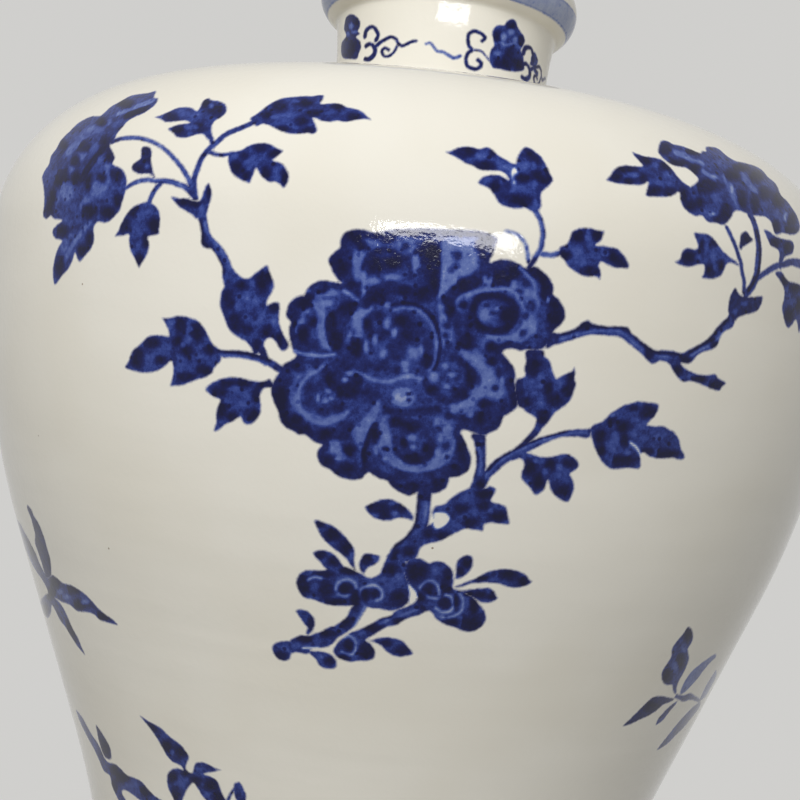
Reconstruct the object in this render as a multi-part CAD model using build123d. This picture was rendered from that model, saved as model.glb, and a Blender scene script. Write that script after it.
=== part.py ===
from build123d import *
from math import asin, atan2, cos, degrees, hypot, radians, sin, sqrt, tan
import os

# A meiping: a tall porcelain vase with a small mouth, broad shoulders and a slender waist.
# It is thrown in five sections, which are luted one on another with slip and share one glaze.
# The axis is Z, the foot ring stands on the plane Z = 0, and lengths are in millimetres.

# Belly, the widest level
belly_radius = 105.0
belly_height = 246.0

# Waist, the narrowest level above the foot
waist_radius = 57.0
waist_height = 36.0

# Taper from the waist to the belly: how much steeper than the straight way its middle runs, and
# how much of its two rounds belongs to the belly
taper_turn_share = 1.63
belly_round_share = 0.41

# Shoulder, which turns over in a tight round and runs up to the neck in a flat crown
shoulder_round = 36.0
shoulder_slope = 16.0
neck_root_slope = 8.0
neck_root_round = 6.0

# Neck, which flares a little towards the lip
neck_radius = 27.2
neck_length = 15.2
neck_curve = 105.0

# Rolled lip
lip_radius = 33.2
lip_round = 7.0
lip_root_round = 1.2

# Clay wall, glaze, and the glaze's clearance in the throat above the neck joint's bead
wall_thickness = 5.6
glaze_thickness = 0.4
throat_glaze_clearance = 1.5

# Foot ring, the bare rim below the glaze, and the base that it carries
foot_ring_width = 8.0
foot_ring_depth = 7.0
foot_bevel = 1.4
foot_lean = 1.0
recess_round = 2.5
glaze_line_height = 4.0
base_thickness = 9.0
floor_round = 14.0

# Luted joints: a sloping seat, scored on both sides, with a layer of slip between
seat_slope = 25.0
slip_thickness = 0.8
score_count = 3
score_width = 0.9
score_depth = 0.5
bead_radius = 2.0

# How far a joint's cutting shape runs past the wall on each side
overrun = 2.0


def polar(centre, radius, angle):
    """The point at a radius and an angle in degrees about a centre."""
    return (centre[0] + radius * cos(radians(angle)), centre[1] + radius * sin(radians(angle)))


def heading(start, end):
    """The angle in degrees of the way from one point to another."""
    return degrees(atan2(end[1] - start[1], end[0] - start[0]))


def lower_crossing(centre_a, radius_a, centre_b, radius_b):
    """The crossing of two circles that lies clockwise of the way from a to b."""
    span = hypot(centre_b[0] - centre_a[0], centre_b[1] - centre_a[1])
    along = (span**2 + radius_a**2 - radius_b**2) / (2 * span)
    turn = degrees(atan2(sqrt(radius_a**2 - along**2), along))
    return polar(centre_a, radius_a, heading(centre_a, centre_b) - turn)


# The taper's straight middle is tangent to a round at each end, upright at the waist and the belly
taper_rise = belly_height - waist_height
taper_spread = belly_radius - waist_radius
taper_angle = taper_turn_share * degrees(atan2(taper_spread, taper_rise))
rounds_total = (
    taper_rise * sin(radians(taper_angle)) - taper_spread * cos(radians(taper_angle))
) / (1 - cos(radians(taper_angle)))
belly_round = belly_round_share * rounds_total
waist_round = rounds_total - belly_round

# The centres of the rounds, each tangent to the next
waist_centre = (waist_radius + waist_round, waist_height)
belly_centre = (belly_radius - belly_round, belly_height)
shoulder_centre = (belly_radius - shoulder_round, belly_height)
shoulder_end = polar(shoulder_centre, shoulder_round, 90 - shoulder_slope)
crown_end_radius = neck_radius + neck_root_round * (1 - sin(radians(neck_root_slope)))
crown_round = (shoulder_end[0] - crown_end_radius) / (
    sin(radians(shoulder_slope)) - sin(radians(neck_root_slope))
)
crown_centre = polar(shoulder_end, crown_round, -90 - shoulder_slope)
crown_end = polar(crown_centre, crown_round, 90 - neck_root_slope)
neck_root_centre = polar(crown_end, neck_root_round, 90 - neck_root_slope)
neck_centre = (neck_radius + neck_curve, neck_root_centre[1])
lip_centre = (lip_radius - lip_round, neck_root_centre[1] + neck_length + lip_round)
lip_root_centre = lower_crossing(
    lip_centre, lip_round + lip_root_round, neck_centre, neck_curve - lip_root_round
)

# The throat is a plain bore, and the lip rolls over into it
throat_radius = neck_radius - wall_thickness - glaze_thickness
lip_inner_round = lip_centre[0] - throat_radius
lip_inner_centre = (lip_centre[0], lip_centre[1] + lip_round - lip_inner_round)
mouth_height = lip_centre[1] + lip_round

# The floor inside, above the recessed base
floor_height = foot_ring_depth + base_thickness

# A seat's rise across the wall, and the glaze's end in the throat, above the neck joint
seat_rise = wall_thickness * tan(radians(seat_slope))
throat_glaze_height = neck_root_centre[1] + seat_rise + bead_radius + throat_glaze_clearance


def body_outline(inset, start_height):
    """Edges from a height on the waist up to the neck, at a depth below the finished surface."""
    low_angle = degrees(asin((waist_height - start_height) / (waist_round + inset)))
    waist = CenterArc(waist_centre, waist_round + inset, 180 + low_angle, -low_angle - taper_angle)
    belly = CenterArc(belly_centre, belly_round - inset, -taper_angle, taper_angle)
    shoulder = CenterArc(shoulder_centre, shoulder_round - inset, 0, 90 - shoulder_slope)
    crown = CenterArc(
        crown_centre, crown_round - inset, 90 - shoulder_slope, shoulder_slope - neck_root_slope
    )
    neck_root = CenterArc(
        neck_root_centre, neck_root_round + inset, 270 - neck_root_slope, neck_root_slope - 90
    )
    return [waist, Line(waist @ 1, belly @ 0), belly, shoulder, crown, neck_root]


def lip_outline(inset, end_height):
    """Edges from the foot of the neck over the lip and down the throat, at the same depth."""
    neck_end = heading(neck_centre, lip_root_centre) % 360
    lip_start = heading(lip_centre, lip_root_centre)
    neck = CenterArc(neck_centre, neck_curve + inset, 180, neck_end - 180)
    lip_root = CenterArc(
        lip_root_centre, lip_root_round + inset, neck_end, lip_start + 180 - neck_end
    )
    lip = CenterArc(lip_centre, lip_round - inset, lip_start, 90 - lip_start)
    lip_inner = CenterArc(lip_inner_centre, lip_inner_round - inset, 90, 90)
    throat = Line(lip_inner @ 1, (throat_radius + inset, end_height))
    return [neck, lip_root, lip, lip_inner, throat]


def clay_face():
    """Half section of all the clay, from the axis out: base, foot ring, wall, neck and lip."""
    outside = body_outline(glaze_thickness, foot_bevel)
    inside = body_outline(wall_thickness, floor_height)
    rim = lip_outline(glaze_thickness, (inside[-1] @ 1).Y)
    foot_outer = outside[0] @ 0
    ring_inner_radius = foot_outer.X - foot_ring_width
    floor_edge = inside[0] @ 0
    underside = Polyline(
        floor_edge,
        (0, floor_height),
        (0, foot_ring_depth),
        (ring_inner_radius - foot_lean, foot_ring_depth),
        (ring_inner_radius, foot_bevel),
        (ring_inner_radius + foot_bevel, 0),
        (foot_outer.X - foot_bevel, 0),
        foot_outer,
    )
    face = make_face(outside + rim + inside + [underside])
    recess_corner = (ring_inner_radius - foot_lean, foot_ring_depth)
    face = fillet(face.vertices().sort_by_distance(recess_corner)[0], recess_round)
    return fillet(face.vertices().sort_by_distance(floor_edge)[0], floor_round)


def glaze_face():
    """Half section of the glaze, a coat from the foot's glaze line over the lip into the throat."""
    outer = body_outline(0, glaze_line_height) + lip_outline(0, throat_glaze_height)
    inner = body_outline(glaze_thickness, glaze_line_height)
    inner += lip_outline(glaze_thickness, throat_glaze_height)
    foot_edge = Line(outer[0] @ 0, inner[0] @ 0)
    throat_edge = Line(outer[-1] @ 1, inner[-1] @ 1)
    return make_face(outer + inner + [foot_edge, throat_edge])


def seat_points(lift, tooth):
    """One scored seat, from outside the wall to inside it, as depths and heights."""
    depths = [(-overrun, 0)]
    for score in range(score_count):
        middle = wall_thickness * (score + 1) / (score_count + 1)
        depths += [(middle - score_width / 2, 0), (middle, tooth), (middle + score_width / 2, 0)]
    depths.append((wall_thickness + overrun, 0))
    rise = seat_rise / wall_thickness
    return [(-depth, depth * rise + lift + offset) for depth, offset in depths]


def slip_layer(place):
    """The space that a joint's slip fills between two scored seats, run past the wall."""
    lower = seat_points(-slip_thickness / 2, -score_depth)
    upper = seat_points(slip_thickness / 2, score_depth)
    return place * make_face(Polyline(*lower, *reversed(upper), close=True))


def slip_bead(place):
    """The round bead of slip that is squeezed out of a joint on the inside."""
    return place * Pos(-wall_thickness, seat_rise) * Circle(bead_radius)


def turn_on_axis(face):
    """The solid that a half section makes when it is turned once about the axis."""
    return revolve(Plane.XZ * face, Axis.Z)


# Each joint is at a named point of the outline, square to the wall there
joints = {
    "foot": Pos(waist_radius, waist_height),
    "waist": Pos(*polar(waist_centre, waist_round, 180 - taper_angle)) * Rot(0, 0, -taper_angle),
    "belly": Pos(belly_radius, belly_height),
    "neck": Pos(neck_radius, neck_root_centre[1]),
}
section_names = ["foot_section", "waist_section", "belly_section", "shoulder_section", "neck_and_lip"]

clay = clay_face()
sections = clay
nodes = {"glaze_coat": glaze_face()}
for name, place in joints.items():
    layer = slip_layer(place)
    sections -= layer
    nodes["luting_slip_" + name] = (clay & layer) + (slip_bead(place) - clay)

for name, face in zip(section_names, sections.faces().sort_by(Axis.Y)):
    nodes[name] = face

os.makedirs("parts", exist_ok=True)
for name, face in nodes.items():
    solid = turn_on_axis(face)
    solid.label = name
    export_step(solid, f"parts/{name}.step")

print(f"height {mouth_height:.1f}, taper angle {taper_angle:.1f}, crown round {crown_round:.1f}")
print(f"belly round {belly_round:.1f}, waist round {waist_round:.1f}")
print(f"throat radius {throat_radius:.1f}, from {throat_glaze_height:.1f} to {lip_inner_centre[1]:.1f}")
print(f"foot ring outer radius {(body_outline(0, 0)[0] @ 0).X:.1f}")
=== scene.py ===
import math

import bpy
import numpy as np
from mathutils import Matrix, Vector


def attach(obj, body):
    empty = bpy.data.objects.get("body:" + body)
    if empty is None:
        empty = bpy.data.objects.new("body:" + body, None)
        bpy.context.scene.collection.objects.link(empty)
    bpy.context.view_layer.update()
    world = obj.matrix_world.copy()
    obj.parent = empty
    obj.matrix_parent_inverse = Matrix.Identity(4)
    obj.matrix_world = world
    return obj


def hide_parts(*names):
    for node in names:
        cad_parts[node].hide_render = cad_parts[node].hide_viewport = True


# A porcelain meiping, painted in cobalt blue under a clear glaze, seen close up from the front.
# Lengths are in metres, in the frame of the CAD model: the axis is Z and the front faces -Y.

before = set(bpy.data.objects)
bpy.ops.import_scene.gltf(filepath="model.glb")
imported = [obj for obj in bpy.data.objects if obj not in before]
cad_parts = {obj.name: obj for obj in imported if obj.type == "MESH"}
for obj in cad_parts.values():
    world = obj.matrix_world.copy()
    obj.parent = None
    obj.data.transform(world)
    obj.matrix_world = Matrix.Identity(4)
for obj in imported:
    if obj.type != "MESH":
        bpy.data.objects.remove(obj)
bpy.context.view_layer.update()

MM = 0.001
QUARTER = math.pi / 2

# Sizes of the finished surface, as the solids have them
BELLY_RADIUS = 105 * MM
BELLY_HEIGHT = 246 * MM
WAIST_RADIUS = 57 * MM
WAIST_HEIGHT = 36 * MM
TAPER_TURN_SHARE = 1.63
BELLY_ROUND_SHARE = 0.41
SHOULDER_ROUND = 36 * MM
SHOULDER_SLOPE = math.radians(16)
NECK_ROOT_SLOPE = math.radians(8)
NECK_ROOT_ROUND = 6 * MM
NECK_RADIUS = 27.2 * MM
NECK_LENGTH = 15.2 * MM
NECK_CURVE = 105 * MM
LIP_RADIUS = 33.2 * MM
LIP_ROUND = 7 * MM
LIP_ROOT_ROUND = 1.2 * MM
THROAT_RADIUS = 21.2 * MM
THROAT_GLAZE_HEIGHT = 302.6 * MM
GLAZE_LINE_HEIGHT = 4 * MM
GLAZE_THICKNESS = 0.4 * MM

# The photograph's frame and its camera, as they were fitted to the vase's outline
PHOTO_SIZE = 800
FOCAL_PIXELS = 1194.8
SENSOR_WIDTH = 36
CAMERA_PLACE = Vector((0, -310 * MM, 214.7 * MM))
CAMERA_PITCH = math.radians(0.347)
CAMERA_YAW = math.radians(-0.257)
CAMERA_ROLL = math.radians(6.281)

# The skin's finest cells, and how many of them a plain block takes in each direction
COLUMNS = 2048
CELL_HEIGHT = 0.33 * MM
BLOCK = 8
QUADRANTS = 4
PANEL_SPLIT_HEIGHT = 152 * MM

# How far from a painted edge the finest cells go on, and how far the painting's fields reach
FINE_REACH = 0.8
FIELD_REACH = 3.0

# How far apart two sums may lie that would be the same without rounding
ROUNDING = 1e-9


# The outline of the glaze, from the glaze line up the body, over the lip and down the throat


def heading(start, end):
    """The angle of the way from one point of the half section to another."""
    return math.atan2(end[1] - start[1], end[0] - start[0])


def polar(centre, radius, angle):
    return (centre[0] + radius * math.cos(angle), centre[1] + radius * math.sin(angle))


class Arc:
    """A round stretch of the half section. Its side is 1 where it bulges and -1 in a hollow."""

    def __init__(self, centre, radius, start, end, side):
        self.centre, self.radius, self.start, self.end, self.side = centre, radius, start, end, side
        self.length = radius * abs(end - start)

    def walk(self, share):
        angle = self.start + share * (self.end - self.start)
        across, up = np.cos(angle), np.sin(angle)
        place = self.centre[0] + self.radius * across, self.centre[1] + self.radius * up
        return (*place, self.side * across, self.side * up)


class Straight:
    """A straight stretch of the half section, with the outside on its right."""

    def __init__(self, start, end):
        self.start, self.end = start, end
        self.length = math.dist(start, end)

    def walk(self, share):
        along = heading(self.start, self.end)
        place = [a + share * (b - a) for a, b in zip(self.start, self.end)]
        return (*place, math.sin(along) + 0 * share, -math.cos(along) + 0 * share)


def glaze_outline():
    """The stretches of the glaze's surface by name, each tangent to the next."""
    rise = BELLY_HEIGHT - WAIST_HEIGHT
    spread = BELLY_RADIUS - WAIST_RADIUS
    taper = TAPER_TURN_SHARE * math.atan2(spread, rise)
    rounds = (rise * math.sin(taper) - spread * math.cos(taper)) / (1 - math.cos(taper))
    belly_round = BELLY_ROUND_SHARE * rounds
    waist_round = rounds - belly_round
    waist_centre = (WAIST_RADIUS + waist_round, WAIST_HEIGHT)
    belly_centre = (BELLY_RADIUS - belly_round, BELLY_HEIGHT)
    shoulder_centre = (BELLY_RADIUS - SHOULDER_ROUND, BELLY_HEIGHT)
    shoulder_end = polar(shoulder_centre, SHOULDER_ROUND, QUARTER - SHOULDER_SLOPE)
    crown_end_radius = NECK_RADIUS + NECK_ROOT_ROUND * (1 - math.sin(NECK_ROOT_SLOPE))
    crown_round = (shoulder_end[0] - crown_end_radius) / (
        math.sin(SHOULDER_SLOPE) - math.sin(NECK_ROOT_SLOPE)
    )
    crown_centre = polar(shoulder_end, crown_round, -QUARTER - SHOULDER_SLOPE)
    crown_end = polar(crown_centre, crown_round, QUARTER - NECK_ROOT_SLOPE)
    root_centre = polar(crown_end, NECK_ROOT_ROUND, QUARTER - NECK_ROOT_SLOPE)
    neck_centre = (NECK_RADIUS + NECK_CURVE, root_centre[1])
    lip_centre = (LIP_RADIUS - LIP_ROUND, root_centre[1] + NECK_LENGTH + LIP_ROUND)
    reach, grip = LIP_ROUND + LIP_ROOT_ROUND, NECK_CURVE - LIP_ROOT_ROUND
    span = math.dist(lip_centre, neck_centre)
    turn = math.acos((span**2 + reach**2 - grip**2) / (2 * span * reach))
    lip_root_centre = polar(lip_centre, reach, heading(lip_centre, neck_centre) - turn)
    neck_end = heading(neck_centre, lip_root_centre) % math.tau
    lip_start = heading(lip_centre, lip_root_centre)
    inner_round = lip_centre[0] - THROAT_RADIUS
    inner_centre = (lip_centre[0], lip_centre[1] + LIP_ROUND - inner_round)
    foot_turn = math.asin((WAIST_HEIGHT - GLAZE_LINE_HEIGHT) / waist_round)
    taper_ends = (
        polar(waist_centre, waist_round, math.pi - taper),
        polar(belly_centre, belly_round, -taper),
    )
    return {
        "waist": Arc(waist_centre, waist_round, math.pi + foot_turn, math.pi - taper, -1),
        "taper": Straight(*taper_ends),
        "belly": Arc(belly_centre, belly_round, -taper, 0, 1),
        "shoulder": Arc(shoulder_centre, SHOULDER_ROUND, 0, QUARTER - SHOULDER_SLOPE, 1),
        "crown": Arc(
            crown_centre, crown_round, QUARTER - SHOULDER_SLOPE, QUARTER - NECK_ROOT_SLOPE, 1
        ),
        "neck_root": Arc(root_centre, NECK_ROOT_ROUND, 3 * QUARTER - NECK_ROOT_SLOPE, math.pi, -1),
        "neck": Arc(neck_centre, NECK_CURVE, math.pi, neck_end, -1),
        "lip_root": Arc(lip_root_centre, LIP_ROOT_ROUND, neck_end, lip_start + math.pi, -1),
        "lip": Arc(lip_centre, LIP_ROUND, lip_start, QUARTER, 1),
        "lip_inner": Arc(inner_centre, inner_round, QUARTER, math.pi, 1),
        "throat": Straight(
            polar(inner_centre, inner_round, math.pi), (THROAT_RADIUS, THROAT_GLAZE_HEIGHT)
        ),
    }


OUTLINE = glaze_outline()
STARTS = dict(zip(OUTLINE, np.cumsum([0] + [stretch.length for stretch in OUTLINE.values()])))
OUTLINE_LENGTH = sum(stretch.length for stretch in OUTLINE.values())


def walk_outline(way):
    """Radius, height and outward normal at each distance along the outline."""
    way = np.asarray(way, float)
    found = np.zeros((4, *way.shape))
    for name, stretch in OUTLINE.items():
        share = (way - STARTS[name]) / stretch.length
        here = (share > -ROUNDING) & (share <= 1 + ROUNDING)
        found[:, here] = np.array(stretch.walk(share[here]))
    return found


# The photograph's camera, and the place on the glaze that a pixel of it shows

FORWARD = Vector((
    math.sin(CAMERA_YAW) * math.cos(CAMERA_PITCH),
    math.cos(CAMERA_YAW) * math.cos(CAMERA_PITCH),
    math.sin(CAMERA_PITCH),
))
LEVEL_RIGHT = Vector((math.cos(CAMERA_YAW), -math.sin(CAMERA_YAW), 0))
LEVEL_UP = LEVEL_RIGHT.cross(FORWARD)
RIGHT = LEVEL_RIGHT * math.cos(CAMERA_ROLL) + LEVEL_UP * math.sin(CAMERA_ROLL)
UP = LEVEL_UP * math.cos(CAMERA_ROLL) - LEVEL_RIGHT * math.sin(CAMERA_ROLL)

OUTSIDE_PLACES = 4000
OUTSIDE_WAY = np.linspace(0, STARTS["lip_inner"], OUTSIDE_PLACES)
OUTSIDE_RADIUS, OUTSIDE_HEIGHT = walk_outline(OUTSIDE_WAY)[:2]
RAY_START = 150 * MM
RAY_END = 420 * MM
RAY_STEP = 0.4 * MM
RAY_STEPS = np.arange(RAY_START, RAY_END, RAY_STEP)
HALVINGS = 12


def rays(pixels):
    """The direction in which the camera sees each pixel, for a depth of one."""
    across = (pixels[:, :1] - PHOTO_SIZE / 2) / FOCAL_PIXELS
    down = (pixels[:, 1:] - PHOTO_SIZE / 2) / FOCAL_PIXELS
    return np.array(FORWARD) + across * np.array(RIGHT) - down * np.array(UP)


def clearance(places):
    """How far outside the glaze's surface each place is, measured level."""
    surface = np.interp(places[..., 2], OUTSIDE_HEIGHT, OUTSIDE_RADIUS)
    return np.hypot(places[..., 0], places[..., 1]) - surface


def on_glaze(pixels):
    """The angle from the front and the way along the outline of each pixel's place on the glaze."""
    towards = rays(np.asarray(pixels, float))
    start = np.array(CAMERA_PLACE)
    gaps = clearance(start + RAY_STEPS[:, None] * towards[:, None, :])
    hits = (gaps < 0).any(axis=1)
    first = np.where(hits, (gaps < 0).argmax(axis=1), gaps.argmin(axis=1))
    far = RAY_STEPS[first]
    near = RAY_STEPS[np.maximum(first - 1, 0)]
    for _ in range(HALVINGS):
        middle = (near + far) / 2
        outside = clearance(start + middle[:, None] * towards) > 0
        near = np.where(outside & hits, middle, near)
        far = np.where(outside & hits, far, middle)
    place = start + far[:, None] * towards
    angle = np.arctan2(place[:, 0], -place[:, 1])
    return angle, np.interp(place[:, 2], OUTSIDE_HEIGHT, OUTSIDE_WAY)


# The painting. A motif is a list of brush strokes in the order of painting, in pixels of the
# photograph. An area and a stem lay paint, and a vein and a spot only change how strong the paint
# under them is.

GAP, BARE, PALE, WASH, SHEEN, MID, DARK, DEEP = 0.02, 0.25, 0.36, 0.42, 0.54, 0.64, 0.79, 0.96


def area(tone, *outline):
    return {"kind": "area", "tone": tone, "way": outline}


def stem(tone, widths, *way):
    return {"kind": "stem", "tone": tone, "widths": widths, "way": way}


def vein(tone, width, *way):
    return {"kind": "vein", "tone": tone, "widths": (width, width), "way": way}


def spots(tone, *ellipses):
    """Soft ellipses: a centre and a half width, and if not round, a half height and a turn."""
    return [{"kind": "spot", "tone": tone, "ellipse": ellipse} for ellipse in ellipses]


PEONY_OUTLINE = [
    (340, 240), (344, 233), (350, 230), (357, 229), (366, 230), (376, 232), (395, 229), (420, 228),
    (450, 229), (480, 231), (497, 237), (496, 245), (494, 252), (490, 262), (497, 260), (505, 259),
    (513, 261), (520, 264), (526, 268), (534, 266), (540, 269), (546, 274), (551, 280), (554, 288),
    (553, 294), (558, 298), (562, 304), (565, 311), (565, 318), (561, 325), (557, 328), (553, 333),
    (550, 341), (545, 347), (540, 350), (528, 350), (520, 351), (513, 349), (505, 350), (503, 353),
    (508, 359), (513, 366), (516, 374), (515, 382), (517, 395), (518, 405), (516, 409), (510, 413),
    (504, 417), (502, 422), (498, 429), (490, 433), (484, 436), (474, 433), (468, 431), (463, 430),
    (461, 433), (465, 440), (468, 448), (471, 456), (471, 463), (469, 470), (464, 474), (458, 477),
    (450, 478), (449, 482), (446, 488), (440, 492), (433, 494), (426, 493), (417, 493), (410, 496),
    (403, 494), (397, 491), (392, 487), (387, 481), (380, 479), (374, 476), (370, 473), (366, 474),
    (363, 478), (356, 480), (350, 480), (342, 478), (336, 475), (330, 470), (322, 466), (318, 460),
    (317, 453), (319, 448), (322, 445), (316, 443), (310, 439), (305, 435), (299, 435), (292, 431),
    (285, 427), (280, 421), (278, 413), (276, 407), (273, 401), (271, 394), (271, 387), (275, 378),
    (279, 372), (283, 365), (289, 361), (294, 358), (296, 355), (293, 352), (291, 343), (289, 335),
    (289, 327), (290, 322), (286, 316), (287, 309), (289, 303), (294, 298), (301, 295), (304, 295),
    (307, 289), (312, 284), (318, 281), (323, 280), (330, 281), (337, 282), (341, 283), (337, 279),
    (333, 273), (330, 266), (328, 260), (331, 255), (336, 250), (340, 247),
]

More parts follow.
